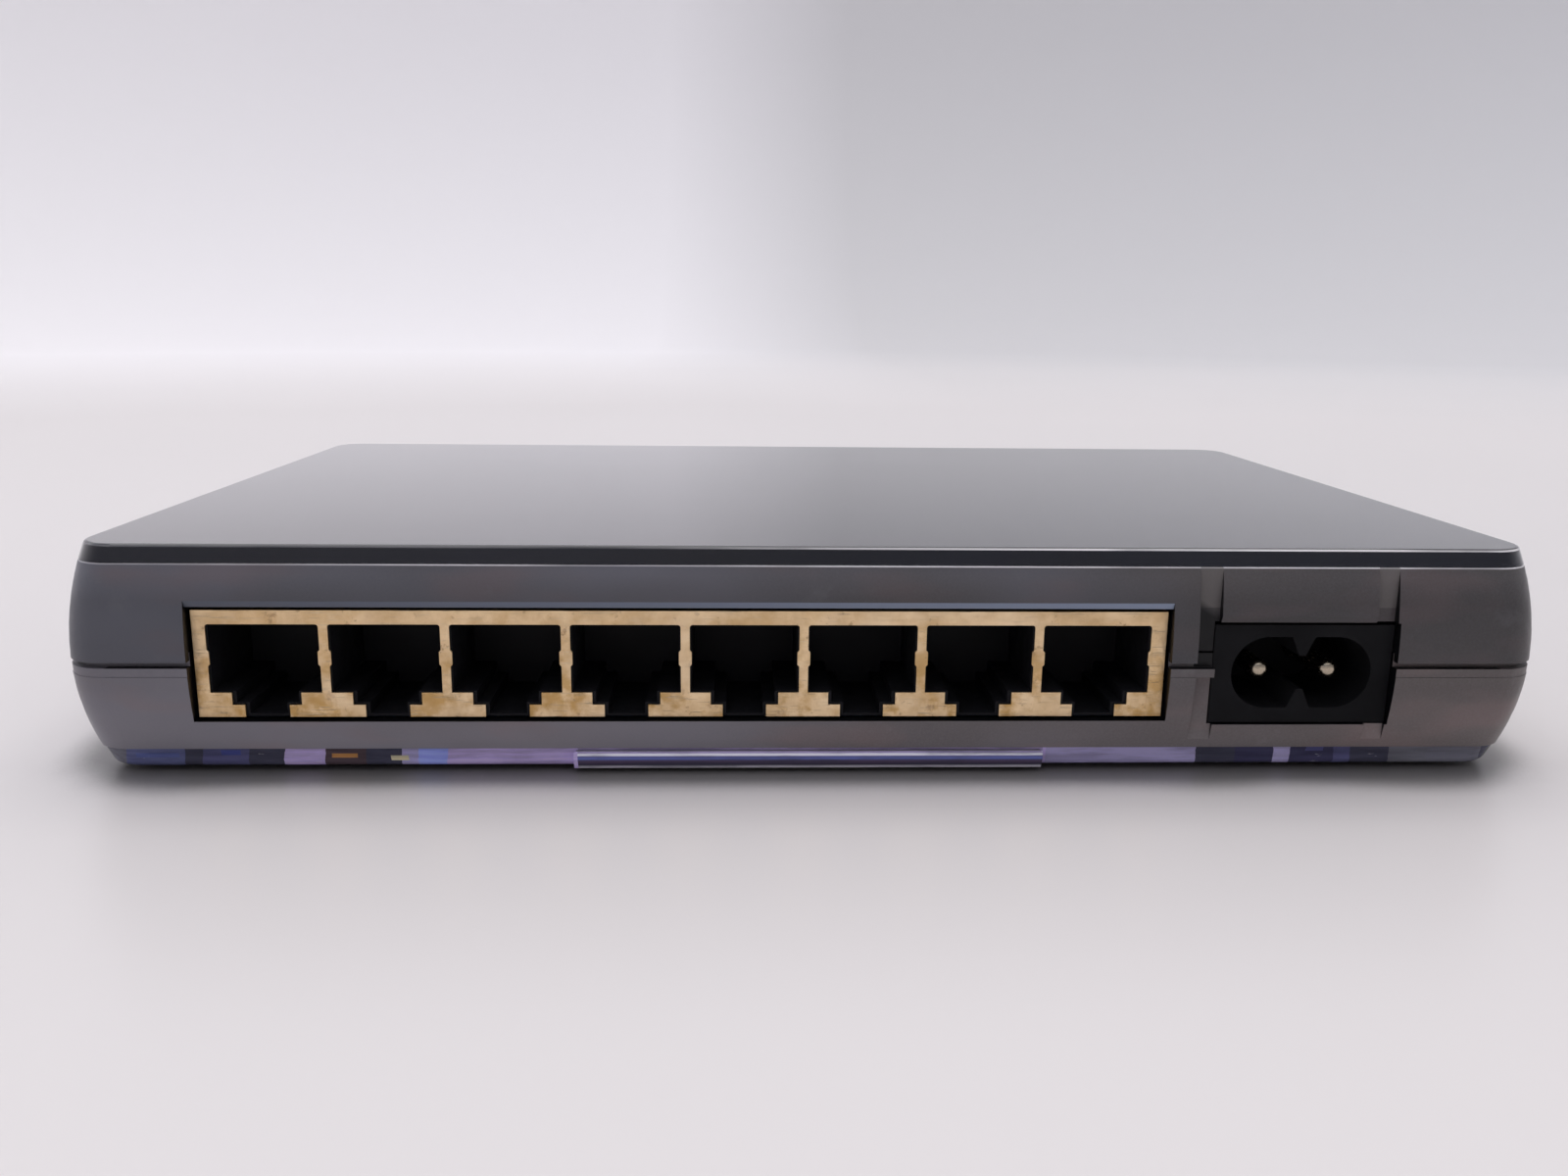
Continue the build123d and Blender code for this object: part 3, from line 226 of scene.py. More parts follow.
# ---------------------------------------------------------------- node helpers
class Nodes:
    """A node tree of a material or of the world, with short calls for the nodes that both use."""

    def __init__(self, tree):
        self.tree = tree

    def add(self, kind, **settings):
        node = self.tree.nodes.new(kind)
        for key, value in settings.items():
            setattr(node, key, value)
        return node

    def join(self, source, target):
        self.tree.links.new(source, target)

    def put(self, target, value):
        """A number or colour set on a socket, or another socket joined to it."""
        if isinstance(value, bpy.types.NodeSocket):
            self.join(value, target)
        else:
            target.default_value = value

    def split(self, vector):
        """The X, Y and Z of a vector."""
        node = self.add("ShaderNodeSeparateXYZ")
        self.join(vector, node.inputs[0])
        return node.outputs

    def mix(self, factor, first, second, blend="MIX"):
        """Mix of two colours, each three numbers or a socket."""
        node = self.add("ShaderNodeMix", data_type="RGBA", blend_type=blend)
        self.put(node.inputs["Factor"], factor)
        for socket, value in zip((node.inputs[6], node.inputs[7]), (first, second)):
            self.put(socket, value if isinstance(value, bpy.types.NodeSocket) else (*value, 1.0))
        return node.outputs[2]

    def maths(self, operation, *values):
        node = self.add("ShaderNodeMath", operation=operation)
        for socket, value in zip(node.inputs, values):
            self.put(socket, value)
        return node.outputs[0]

    def times(self, first, *others):
        """Product of numbers or sockets."""
        for other in others:
            first = self.maths("MULTIPLY", first, other)
        return first

    def step(self, value, low, high, first=0.0, last=1.0, kind="LINEAR"):
        """first below low, last above high, a slope of the given kind between."""
        node = self.add("ShaderNodeMapRange", interpolation_type=kind)
        self.join(value, node.inputs["Value"])
        node.inputs["From Min"].default_value = low
        node.inputs["From Max"].default_value = high
        node.inputs["To Min"].default_value = first
        node.inputs["To Max"].default_value = last
        return node.outputs["Result"]


class Shader(Nodes):
    """A node material with short calls for the textures used here. Lengths are in metres."""

    def __init__(self, name):
        self.material = bpy.data.materials.new(name)
        self.material.use_nodes = True
        super().__init__(self.material.node_tree)
        self.bsdf = self.tree.nodes["Principled BSDF"]
        self.place = self.add("ShaderNodeTexCoord").outputs["Object"]

    def set(self, **values):
        """Values or sockets for the Principled shader, by socket name with _ for a space."""
        for key, value in values.items():
            self.put(self.bsdf.inputs[key.replace("_", " ")], value)

    def stretch(self, x, y, z):
        """Object coordinates scaled along each axis."""
        node = self.add("ShaderNodeMapping")
        self.join(self.place, node.inputs["Vector"])
        node.inputs["Scale"].default_value = (x, y, z)
        return node.outputs["Vector"]

    def noise(self, size, detail=3.0, rough=0.55, vector=None):
        """Noise whose features are about size metres across, 0 to 1."""
        node = self.add("ShaderNodeTexNoise")
        self.join(vector or self.place, node.inputs["Vector"])
        node.inputs["Scale"].default_value = 1.0 / size
        node.inputs["Detail"].default_value = detail
        node.inputs["Roughness"].default_value = rough
        return node.outputs["Fac"]

    def cells(self, size, feature, vector):
        """Distance to the middle or the edge of cells about size metres across."""
        node = self.add("ShaderNodeTexVoronoi", feature=feature)
        self.join(vector, node.inputs["Vector"])
        node.inputs["Scale"].default_value = 1.0 / size
        return node.outputs["Distance"]

    def ramp(self, value, *stops, kind="LINEAR"):
        """Colour ramp: stops are (place, colour) with a colour as one grey number or three numbers."""
        node = self.add("ShaderNodeValToRGB")
        node.color_ramp.interpolation = kind
        elements = node.color_ramp.elements
        while len(elements) < len(stops):
            elements.new(0.5)
        for element, (place, colour) in zip(elements, stops):
            element.position = place
            rgb = (colour,) * 3 if isinstance(colour, (int, float)) else colour
            element.color = (*rgb, 1.0)
        self.join(value, node.inputs["Fac"])
        return node.outputs["Color"]

    def axis(self, name):
        """Object coordinate along one axis."""
        return self.split(self.place)[name]

    def between(self, value, low, high):
        """1 between low and high, 0 outside."""
        return self.times(self.maths("GREATER_THAN", value, low), self.maths("LESS_THAN", value, high))

    def sway(self, noise, amount):
        """Noise turned into a shift of about half of amount to either side."""
        return self.times(self.maths("SUBTRACT", noise, 0.5), amount)

    def uneven_highlight(self, left, right, least):
        """Strength of a painted highlight along an edge: uneven, and it grows from least between two x."""
        drift = self.ramp(self.noise(0.02, 3.0, 0.6, self.stretch(1.0, 0.2, 0.2)), (0.35, 0.35), (0.6, 1.0))
        return self.times(drift, self.step(self.axis("X"), left, right, least, 1.0))

    def grey(self, value):
        """The same number in all three channels."""
        node = self.add("ShaderNodeCombineXYZ")
        for socket in node.inputs:
            self.join(value, socket)
        return node.outputs[0]

    def faces_along(self, name, limit):
        """1 where the surface faces less than limit along an axis, 0 where it faces more."""
        normal = self.split(self.add("ShaderNodeNewGeometry").outputs["True Normal"])
        return self.maths("LESS_THAN", self.maths("ABSOLUTE", normal[name]), limit)

    def open_air(self, reach, low, high):
        """0 in tight corners and close under things, 1 where nothing is near."""
        node = self.add("ShaderNodeAmbientOcclusion", samples=CONTACT_SAMPLES)
        node.inputs["Distance"].default_value = reach
        return self.ramp(node.outputs["AO"], (low, 0.0), (high, 1.0))

    def bump(self, height, strength, distance, under=None):
        """Bump on the Principled shader, over the normals given as under."""
        node = self.add("ShaderNodeBump")
        self.join(height, node.inputs["Height"])
        node.inputs["Strength"].default_value = strength
        node.inputs["Distance"].default_value = distance
        if under is not None:
            self.join(under, node.inputs["Normal"])
        self.join(node.outputs["Normal"], self.bsdf.inputs["Normal"])
        return node.outputs["Normal"]

    def soft_edges(self, radius):
        """Normals rounded over every edge by a radius."""
        node = self.add("ShaderNodeBevel", samples=EDGE_SAMPLES)
        node.inputs["Radius"].default_value = radius
        return node.outputs["Normal"]

    def scratches(self, length, width, angle):
        """Thin lines in one direction, 0 to 1 with 1 in a scratch."""
        node = self.add("ShaderNodeMapping")
        self.join(self.place, node.inputs["Vector"])
        node.inputs["Rotation"].default_value = (angle, angle * 0.7, angle * 1.3)
        node.inputs["Scale"].default_value = (1.0 / length, 1.0 / width, 1.0 / width)
        noise = self.add("ShaderNodeTexNoise")
        self.join(node.outputs["Vector"], noise.inputs["Vector"])
        noise.inputs["Scale"].default_value = 1.0
        noise.inputs["Detail"].default_value = 2.0
        return self.ramp(noise.outputs["Fac"], (0.66, 0.0), (0.72, 1.0))


def scaled(colour, factors):
    """A colour times one number, or times one number for each channel."""
    if isinstance(factors, float):
        factors = (factors,) * 3
    return tuple(value * factor for value, factor in zip(colour, factors))


def paint(material, *nodes):
    """Puts a material on CAD nodes or on new pieces."""
    for node in nodes:
        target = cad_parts[node] if isinstance(node, str) else node
        target.data.materials.clear()
        target.data.materials.append(material)


# ---------------------------------------------------------------- casing materials
def gloss_plate():
    """Near-black polished plate with fine swirl marks, dust, a chipped rim and a painted highlight along its
    near top edge.
    """
    s = Shader("gloss_plate")
    base = s.mix(s.ramp(s.noise(0.05, 3.0), (0.35, 0.0), (0.7, 1.0)), *PLATE_TINTS)
    worn = chipped_rim(s)
    base = s.mix(worn, base, PLATE_CHIP)
    # Painted highlight: a thin pale line along the plate's near top edge
    highlight_mask = s.times(s.between(s.axis("Z"), *PLATE_HIGHLIGHT), s.uneven_highlight(*PLATE_HIGHLIGHT_GROWS), port_side(s))
    base = s.mix(highlight_mask, base, EDGE_HIGHLIGHT_TINT)
    hair = s.maths("MAXIMUM", s.scratches(0.03, 0.00022, 0.35), s.scratches(0.022, 0.0002, 1.9))
    smear = s.ramp(s.noise(0.018, 5.0, 0.6), (0.35, 0.07), (0.75, 0.15))
    rough = s.maths("ADD", smear, s.times(hair, 0.06))
    s.set(Base_Color=base, Roughness=s.maths("ADD", rough, s.times(worn, 0.4)))
    s.set(Specular_IOR_Level=0.1, Coat_Weight=1.0, Coat_Roughness=0.05, Coat_IOR=1.45)
    s.bump(s.noise(0.0004, 2.0), 0.02, 0.00002)
    return s.material


def chipped_rim(s):
    """1 on small chips in patches of the plate's top rim, at its right end and along its far side."""
    ends = edge_mask(s, "X", PLATE_LOW.x, PLATE_HIGH.x)
    edge = s.maths("MAXIMUM", ends, edge_mask(s, "Y", PLATE_LOW.y, PLATE_HIGH.y))
    rim = s.times(edge, s.step(s.axis("Z"), PLATE_HIGH.z - RIM_DEEP, PLATE_HIGH.z - 0.3 * RIM_DEEP))
    chips = s.ramp(s.noise(0.0011, 4.0, 0.7), (0.61, 0.0), (0.65, 1.0))
    patches = s.ramp(s.noise(0.012, 2.0), (0.5, 0.0), (0.6, 1.0))
    beyond = s.maths("MAXIMUM", s.step(s.axis("X"), *CHIPS_FROM_X), s.step(s.axis("Y"), *CHIPS_FROM_Y))
    return s.times(rim, chips, patches, beyond)


def edge_mask(s, name, low, high):
    """1 within about a millimetre of the low and high sides of a box along one axis."""
    place = s.axis(name)
    near_low = s.step(place, low + RIM_NEAR, low + RIM_FAR, 1.0, 0.0)
    near_high = s.step(place, high - RIM_FAR, high - RIM_NEAR)
    return s.maths("MAXIMUM", near_low, near_high)


def smoked_upper():
    """Upper shell: the edge over its ports is polished."""
    s = Shader("smoked_upper")
    return smoked_shell(s, UPPER_TINT, UPPER_TOP_LIGHT, polished_lip)


def smoked_lower():
    """Lower shell: its bottom edge is polished and clear."""
    s = Shader("smoked_lower")
    return smoked_shell(s, LOWER_TINT, LOWER_BOTTOM_LIGHT, polished_band)


def smoked_shell(s, tint, height_light, polish):
    """Smoked satin plastic. height_light is painted light that brightens it by the height; polish adds its
    polished strip.
    """
    grain = s.noise(0.00026, 3.0, 0.6)
    base = smoked_colour(s, tint, grain)
    rough = s.ramp(s.noise(0.004, 3.0), (0.3, 0.3), (0.7, 0.4))
    base, rough = polish(s, base, rough)
    # Painted light: lighter towards the bottom of the lower shell and towards the top of the upper shell
    base = s.mix(1.0, base, s.grey(s.step(s.axis("Z"), *height_light)), "MULTIPLY")
    base = s.mix(s.times(groove_strips(s), 0.6), base, scaled(tint, GROOVE_LIFT))
    # Dark of the inlet's body through the thin groove floor, with painted shadow at its soft top
    base = s.mix(thin_groove(s), base, DIM_TINT)
    # Painted shade on the walls of the openings, grooves and seam
    base = s.mix(opening_walls(s), base, WALLS_SHADE)
    s.set(Base_Color=base, Roughness=rough, Specular_IOR_Level=0.28)
    s.bump(grain, 0.1, 0.00004, s.soft_edges(EDGE_RADIUS))
    return s.material


def smoked_colour(s, tint, grain):
    """Painted light, cool and lighter at the left and warm and darker at the right, with dim shapes behind
    the surface, grain and rubbed spots.
    """
    across = s.step(s.axis("X"), BODY_LOW.x, BODY_HIGH.x)
    turn = s.maths("ADD", across, s.sway(s.noise(0.03, 2.0, 0.5, s.stretch(1.0, 1.0, 2.2)), 1.1))
    # Painted light: cooler and lighter at the left end, warmer and darker at the right end
    base = s.mix(s.step(turn, 0.15, 0.85), scaled(tint, COOL_LIT_END), scaled(tint, WARM_DIM_END))
    ghosts = s.ramp(s.noise(0.014, 1.5, 0.4, s.stretch(0.5, 1.0, 1.6)), (0.36, 0.0), (0.68, 1.0))
    base = s.mix(s.times(ghosts, 0.32), base, scaled(tint, 0.5))
    glow = s.ramp(s.noise(0.011, 2.0, 0.5, s.stretch(0.7, 1.0, 2.0)), (0.52, 0.0), (0.68, 0.35))
    base = s.mix(glow, base, scaled(tint, (1.6, 1.15, 1.1)))
    base = s.mix(s.ramp(grain, (0.35, 0.0), (0.7, 0.2)), base, scaled(tint, 1.5))
    rub = s.ramp(s.noise(0.007, 5.0, 0.7), (0.6, 0.0), (0.72, 0.22))
    return s.mix(rub, base, scaled(tint, 1.8))


def port_side(s):
    """1 on the side with the ports."""
    return s.maths("LESS_THAN", s.axis("Y"), PORT_SIDE_Y)


def opening_walls(s):
    """1 on the walls of the openings, grooves and seam in the side with the ports, where painted shade
    darkens them.
    """
    middle = s.maths("LESS_THAN", s.maths("ABSOLUTE", s.axis("X")), WALLS_HALF_X)
    level = s.between(s.axis("Z"), WALLS_LOW, WALLS_HIGH)
    return s.times(s.faces_along("Y", 0.5), port_side(s), middle, level)


def thin_groove(s):
    """1 on the thin floor of the groove beside the inlet, where the inlet's black body shows through, with
    painted shadow of its flange along the soft top edge.
    """
    x = s.axis("X")
    z = s.axis("Z")
    up = s.maths("ADD", z, s.times(s.maths("SUBTRACT", x, DIM_LEFT), DIM_LEAN))
    level = s.times(s.step(up, DIM_TOP, DIM_TOP + DIM_SOFT, 1.0, 0.0), s.maths("GREATER_THAN", z, DIM_LOW))
    return s.times(s.between(x, DIM_LEFT, DIM_RIGHT), groove_floor(s), level)


def groove_strips(s):
    """1 on the floors of the two grooves, above the inlet, where they catch more light."""
    x = s.axis("X")
    grooves = s.maths("ADD", s.between(x, DIM_LEFT, DIM_RIGHT), s.between(x, GROOVE_LEFT, GROOVE_RIGHT))
    return s.times(grooves, groove_floor(s), s.maths("GREATER_THAN", s.axis("Z"), DIM_TOP))


def groove_floor(s):
    """1 at the depth of the grooves' floors, behind the face of the side with the ports."""
    return s.between(s.axis("Y"), GROOVE_FLOOR, PORT_SIDE_Y)


def polished_lip(s, base, rough):
    """Polished strip over the ports with a painted reflection, dim at the left and pale blue further right,
    and a painted highlight: the bright line along the top edge."""
    x = s.axis("X")
    z = s.axis("Z")
    # Painted highlight along the upper shell's top edge
    line = s.times(s.step(z, SHELL_HIGHLIGHT - BAND_SOFT, SHELL_HIGHLIGHT), s.uneven_highlight(*SHELL_HIGHLIGHT_GROWS))
    base = s.mix(line, base, EDGE_HIGHLIGHT_TINT)
    # Painted reflection in the polished strip over the ports
    above = s.step(z, LIP_LOW - BAND_SOFT, LIP_LOW)
    below = s.step(z, LIP_HIGH - BAND_SOFT, LIP_HIGH, 1.0, 0.0)
    inside = s.times(above, below, s.between(x, OPENING_LEFT, OPENING_RIGHT), port_side(s))
    shade = s.mix(s.step(x, OPENING_LEFT, OPENING_RIGHT), *LIP_REFLECTION_TINTS)
    return s.mix(inside, base, shade), s.mix(inside, rough, (0.1, 0.1, 0.1))


def polished_band(s, base, rough):
    """Clear polished edge: the things inside and the light piped through it are painted as sharp-edged
    blocks of colour, with painted light towards the bottom and painted glints.
    """
    z = s.axis("Z")
    inside = s.times(s.step(z, BAND_TOP - BAND_SOFT, BAND_TOP, 1.0, 0.0), s.faces_along("Z", BAND_FACING))
    streaks = s.noise(0.0011, 4.0, 0.6, s.stretch(0.12, 1.0, 1.0))
    blocks = s.mix(1.0, band_blocks(s), s.ramp(streaks, (0.42, 1.05), (0.62, 0.72)), "MULTIPLY")
    # Painted light: lighter towards the bottom of the strip
    blocks = s.mix(1.0, blocks, s.grey(s.step(z, *BAND_BOTTOM_LIGHT)), "MULTIPLY")
    # Painted glints
    glints = s.noise(0.0009, 3.0, 0.6, s.stretch(0.3, 1.0, 1.0))
    blocks = s.mix(s.ramp(glints, (0.7, 0.0), (0.76, 0.4)), blocks, BAND_GLINT)
    # Painted highlights on the pad's bottom edge and on its top ledge
    pad = s.ramp(s.step(z, PAD_LOW, PAD_HIGH), *PAD_STOPS)
    pad = s.mix(s.ramp(streaks, (0.45, 0.0), (0.6, 0.5)), pad, BAND_DARK)
    blocks = s.mix(s.between(s.axis("X"), PAD_LEFT, PAD_RIGHT), blocks, pad)
    return s.mix(inside, base, blocks), s.mix(inside, rough, (0.08, 0.08, 0.08))


def band_blocks(s):
    """The blocks and streaks of colour, with uneven ends that stand upright as seen from the middle."""
    z = s.axis("Z")
    width = BODY_HIGH.x - BODY_LOW.x
    across = s.step(s.axis("X"), BODY_LOW.x, BODY_HIGH.x)
    wobble = s.sway(s.noise(0.002, 3.0), BAND_WOBBLE)
    slant = s.times(s.maths("SUBTRACT", BAND_TOP, z), s.step(across, 0.0, 1.0, BAND_SLANT, -BAND_SLANT))
    stops = [((x * MM - BODY_LOW.x) / width, colour) for x, colour in BAND_BLOCKS]
    blocks = s.ramp(s.maths("ADD", across, s.maths("ADD", wobble, slant)), *stops, kind="CONSTANT")
    x = s.maths("ADD", s.axis("X"), s.times(wobble, width))
    for left, right, low, high, colour in BAND_STREAKS:
        within = s.times(s.between(x, left * MM, right * MM), s.between(z, low * MM, high * MM))
        blocks = s.mix(within, blocks, colour)
    return blocks


def rubber():
    """Soft black rubber with a fine rough skin."""
    s = Shader("rubber")
    fine = s.noise(0.0006, 4.0, 0.6)
    s.set(Base_Color=s.mix(s.ramp(fine, (0.3, 0.0), (0.7, 1.0)), (0.012, 0.012, 0.012), (0.03, 0.03, 0.031)))
    s.set(Roughness=s.ramp(fine, (0.3, 0.65), (0.7, 0.85)), Sheen_Weight=0.05)
    s.bump(fine, 0.2, 0.00005)
    return s.material


def moulded(name, tint, rough=0.45, grain_size=0.0002, depth=0.1, shine=0.5):
    """Plain moulded plastic with a fine spark-eroded grain and slight unevenness."""
    s = Shader(name)
    cloud = s.ramp(s.noise(0.008, 3.0), (0.3, 0.0), (0.7, 1.0))
    s.set(Base_Color=s.mix(cloud, tint, tuple(min(1.0, v * 1.5 + 0.002) for v in tint)))
    s.set(Roughness=s.ramp(s.noise(0.002, 3.0), (0.3, rough - 0.06), (0.7, rough + 0.08)))
    s.set(Specular_IOR_Level=shine)
    s.bump(s.noise(grain_size, 2.0), depth, 0.00003)
    return s.material


def bronze_sheet():
    """Thin plated sheet: rolled grain, stains, finger marks and small scratches."""
    s = Shader("bronze_sheet")
    stain = s.noise(0.006, 5.0, 0.65)
    base = s.mix(s.ramp(stain, (0.38, 0.0), (0.68, 1.0)), (0.93, 0.70, 0.43), (0.71, 0.50, 0.27))
    tarnish = s.ramp(s.noise(0.0034, 4.0, 0.65), (0.46, 0.0), (0.62, 0.6))
    base = s.mix(s.times(tarnish, s.step(s.axis("Z"), *TARNISH_FADE)), base, (0.58, 0.35, 0.12))
    spots = s.ramp(s.noise(0.0016, 4.0, 0.7), (0.6, 0.0), (0.68, 0.7))
    base = s.mix(spots, base, (0.42, 0.26, 0.14))
    pale = s.ramp(s.noise(0.011, 3.0, 0.6, s.stretch(1.0, 1.0, 2.0)), (0.5, 0.0), (0.66, 0.6))
    base = s.mix(pale, base, (1.0, 0.79, 0.53))
    marks = s.maths("MAXIMUM", s.scratches(0.004, 0.00012, 0.8), s.scratches(0.003, 0.0001, 2.2))
    base = s.mix(s.times(marks, 0.6), base, (0.85, 0.72, 0.52))
    rough = s.ramp(s.noise(0.003, 4.0, 0.6), (0.3, 0.32), (0.7, 0.5))
    s.set(Base_Color=base, Metallic=1.0, Roughness=rough)
    rolled = s.noise(0.0012, 3.0, 0.6, s.stretch(1.0, 1.0, 6.0))
    dents = s.noise(0.0035, 4.0, 0.6, s.stretch(1.4, 1.0, 0.7))
    under = s.bump(rolled, 0.2, 0.00006, s.soft_edges(0.6 * EDGE_RADIUS))
    s.bump(s.maths("ADD", dents, s.times(marks, 0.3)), 0.45, 0.0003, under)
    return s.material


def metal(name, tint, rough=0.3, grain=(1.0, 1.0, 1.0), size=0.0012):
    """Metal with drawn grain along the axis given the smallest scale."""
    s = Shader(name)
    fine = s.noise(size, 4.0, 0.6, s.stretch(*grain))
    s.set(Base_Color=s.mix(s.ramp(fine, (0.3, 0.0), (0.7, 1.0)), tint, scaled(tint, 0.78)))
    s.set(Metallic=1.0, Roughness=s.ramp(fine, (0.3, rough - 0.07), (0.7, rough + 0.1)))
    s.bump(fine, 0.08, 0.00003)
    return s.material


def paper_label():
    """Blank white label: soft paper fibre, a printed border and a few empty ruled boxes."""
    s = Shader("paper_label")
    low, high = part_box("rating_label")
    fibre = s.noise(0.0005, 5.0, 0.7)
    base = s.mix(s.ramp(fibre, (0.3, 0.0), (0.7, 1.0)), (0.78, 0.78, 0.76), (0.86, 0.86, 0.84))
    across = s.step(s.axis("X"), low.x, high.x)
    along = s.step(s.axis("Y"), low.y, high.y)
    lines = [rule(s, across, place, COLUMN_WIDTH) for place in LABEL_COLUMNS]
    lines += [rule(s, along, place, ROW_WIDTH) for place in LABEL_ROWS]
    printed = lines[0]
    for line in lines[1:]:
        printed = s.maths("MAXIMUM", printed, line)
    s.set(Base_Color=s.mix(s.times(printed, 0.8), base, (0.12, 0.12, 0.13)))
    s.set(Roughness=s.ramp(fibre, (0.3, 0.5), (0.7, 0.65)))
    s.bump(fibre, 0.05, 0.00003)
    return s.material


def rule(s, value, place, width):
    """1 on a thin line where value is near place."""
    gap = s.maths("ABSOLUTE", s.maths("SUBTRACT", value, place))
    return s.maths("LESS_THAN", gap, width / 2)


def clear_plastic(name, tint, rough=0.08, clear=0.9):
    """Clear or tinted plastic, slightly cloudy."""
    s = Shader(name)
    cloud = s.noise(0.006, 3.0)
    s.set(Base_Color=s.mix(s.ramp(cloud, (0.3, 0.0), (0.7, 1.0)), tint, scaled(tint, 0.85)))
    s.set(Roughness=s.ramp(cloud, (0.3, rough), (0.7, rough + 0.08)), Transmission_Weight=clear, IOR=1.49)
    s.bump(s.noise(0.0008, 2.0), 0.03, 0.00002)
    return s.material


# ---------------------------------------------------------------- electronics materials
def solder_mask():
    """Board: dark blue mask over paler tracks, with pale dots where they are soldered."""
    s = Shader("solder_mask")
    tracks = s.cells(0.0035, "DISTANCE_TO_EDGE", s.stretch(1.0, 2.2, 0.0))
    track = s.ramp(tracks, (0.03, 1.0), (0.05, 0.0))
    base = s.mix(track, (0.012, 0.05, 0.13), (0.02, 0.09, 0.2))
    dots = s.cells(0.0042, "F1", s.stretch(1.0, 1.0, 0.0))
    base = s.mix(s.ramp(dots, (0.07, 1.0), (0.09, 0.0)), base, (0.6, 0.55, 0.4))
    s.set(Base_Color=base, Roughness=s.ramp(s.noise(0.002, 3.0), (0.3, 0.25), (0.7, 0.4)))
    s.set(Coat_Weight=0.3, Coat_Roughness=0.15)
    s.bump(track, 0.3, 0.00004)
    return s.material


def ferrite():
    """Dull dark grey ceramic of the cores."""
    s = Shader("ferrite")
    fine = s.noise(0.0005, 5.0, 0.7)
    s.set(Base_Color=s.mix(s.ramp(fine, (0.3, 0.0), (0.75, 1.0)), (0.03, 0.03, 0.032), (0.09, 0.088, 0.085)))
    s.set(Roughness=s.ramp(fine, (0.3, 0.55), (0.7, 0.75)))
    s.bump(fine, 0.3, 0.00006)
    return s.material


def wound(name, tint, axis, wire):
    """Windings or tape: fine ridges across the given axis, with painted shade in the troughs between the
    turns.
    """
    s = Shader(name)
    turns = s.maths("SINE", s.times(s.axis(axis), 2 * pi / wire))
    shade = s.step(turns, -1.0, 1.0)
    cloud = s.ramp(s.noise(0.004, 3.0), (0.3, 0.75), (0.7, 1.0))
    # Painted shade: the troughs between the turns at half the brightness
    base = s.mix(shade, scaled(tint, 0.5), tint)
    s.set(Base_Color=s.mix(1.0, base, cloud, "MULTIPLY"), Roughness=s.ramp(shade, (0.0, 0.5), (1.0, 0.25)))
    s.bump(shade, 0.5, 0.0001)
    return s.material


# ---------------------------------------------------------------- printed marks
def add_light_numbers():
    """White printed numbers over the status lights, on the side away from the ports."""
    joined = bmesh.new()
    lean = asin((NUMBER_HEIGHT - BULGE_HEIGHT) / BULGE_RADIUS)
    y = BODY_HIGH.y - BULGE_RADIUS * (1 - cos(lean)) + NUMBER_LIFT
    turn = Matrix(((-1, 0, 0), (0, -sin(lean), cos(lean)), (0, cos(lean), sin(lean)))).to_4x4()
    for index in range(PORTS):
        curve = bpy.data.curves.new("number", "FONT")
        curve.body = str(index + 1)
        curve.size = NUMBER_SIZE
        curve.extrude = NUMBER_THICK
        curve.align_x = "CENTER"
        curve.align_y = "CENTER"
        letter = bpy.data.objects.new("number", curve)
        mesh = bpy.data.meshes.new_from_object(letter)
        x = LIGHTS_MIDDLE + (PORTS / 2 - index) * LIGHTS_PITCH
        mesh.transform(Matrix.Translation((x, y, NUMBER_HEIGHT)) @ turn)
        joined.from_mesh(mesh)
        bpy.data.objects.remove(letter)
        bpy.data.meshes.remove(mesh)
    mesh = bpy.data.meshes.new("light_numbers")
    joined.to_mesh(mesh)
    joined.free()
    piece = bpy.data.objects.new("light_numbers", mesh)
    bpy.context.scene.collection.objects.link(piece)
    paint(moulded("print_white", (0.5, 0.5, 0.5), rough=0.5), piece)
    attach(piece, "casing")


# ---------------------------------------------------------------- stage
def add_stage():
    """Pale round floor whose rim turns up into a pale backdrop all the way round."""
    profile = [(FLOOR_HUB, 0.0), (BACKDROP_PLACE, 0.0)]
    for index in range(1, BACKDROP_STEPS + 1):
        turn = index / BACKDROP_STEPS * pi / 2
        profile.append((BACKDROP_PLACE + BACKDROP_BEND * sin(turn), BACKDROP_BEND * (1 - cos(turn))))
    profile.append((BACKDROP_PLACE + BACKDROP_BEND, BACKDROP_RISE))
    around = [2 * pi * index / BACKDROP_SIDES for index in range(BACKDROP_SIDES)]
    points = [(radius * sin(turn), radius * cos(turn), z) for radius, z in profile for turn in around]
    faces = [tuple(reversed(range(BACKDROP_SIDES)))]
    for ring in range(len(profile) - 1):
        inner = ring * BACKDROP_SIDES
        outer = inner + BACKDROP_SIDES
        for side in range(BACKDROP_SIDES):
            after = (side + 1) % BACKDROP_SIDES
            faces.append((inner + side, inner + after, outer + after, outer + side))
    mesh = bpy.data.meshes.new("floor")
    mesh.from_pydata(points, [], faces)
    mesh.shade_smooth()
    floor = bpy.data.objects.new("floor", mesh)
    bpy.context.scene.collection.objects.link(floor)
    mesh.materials.append(pale_stage())


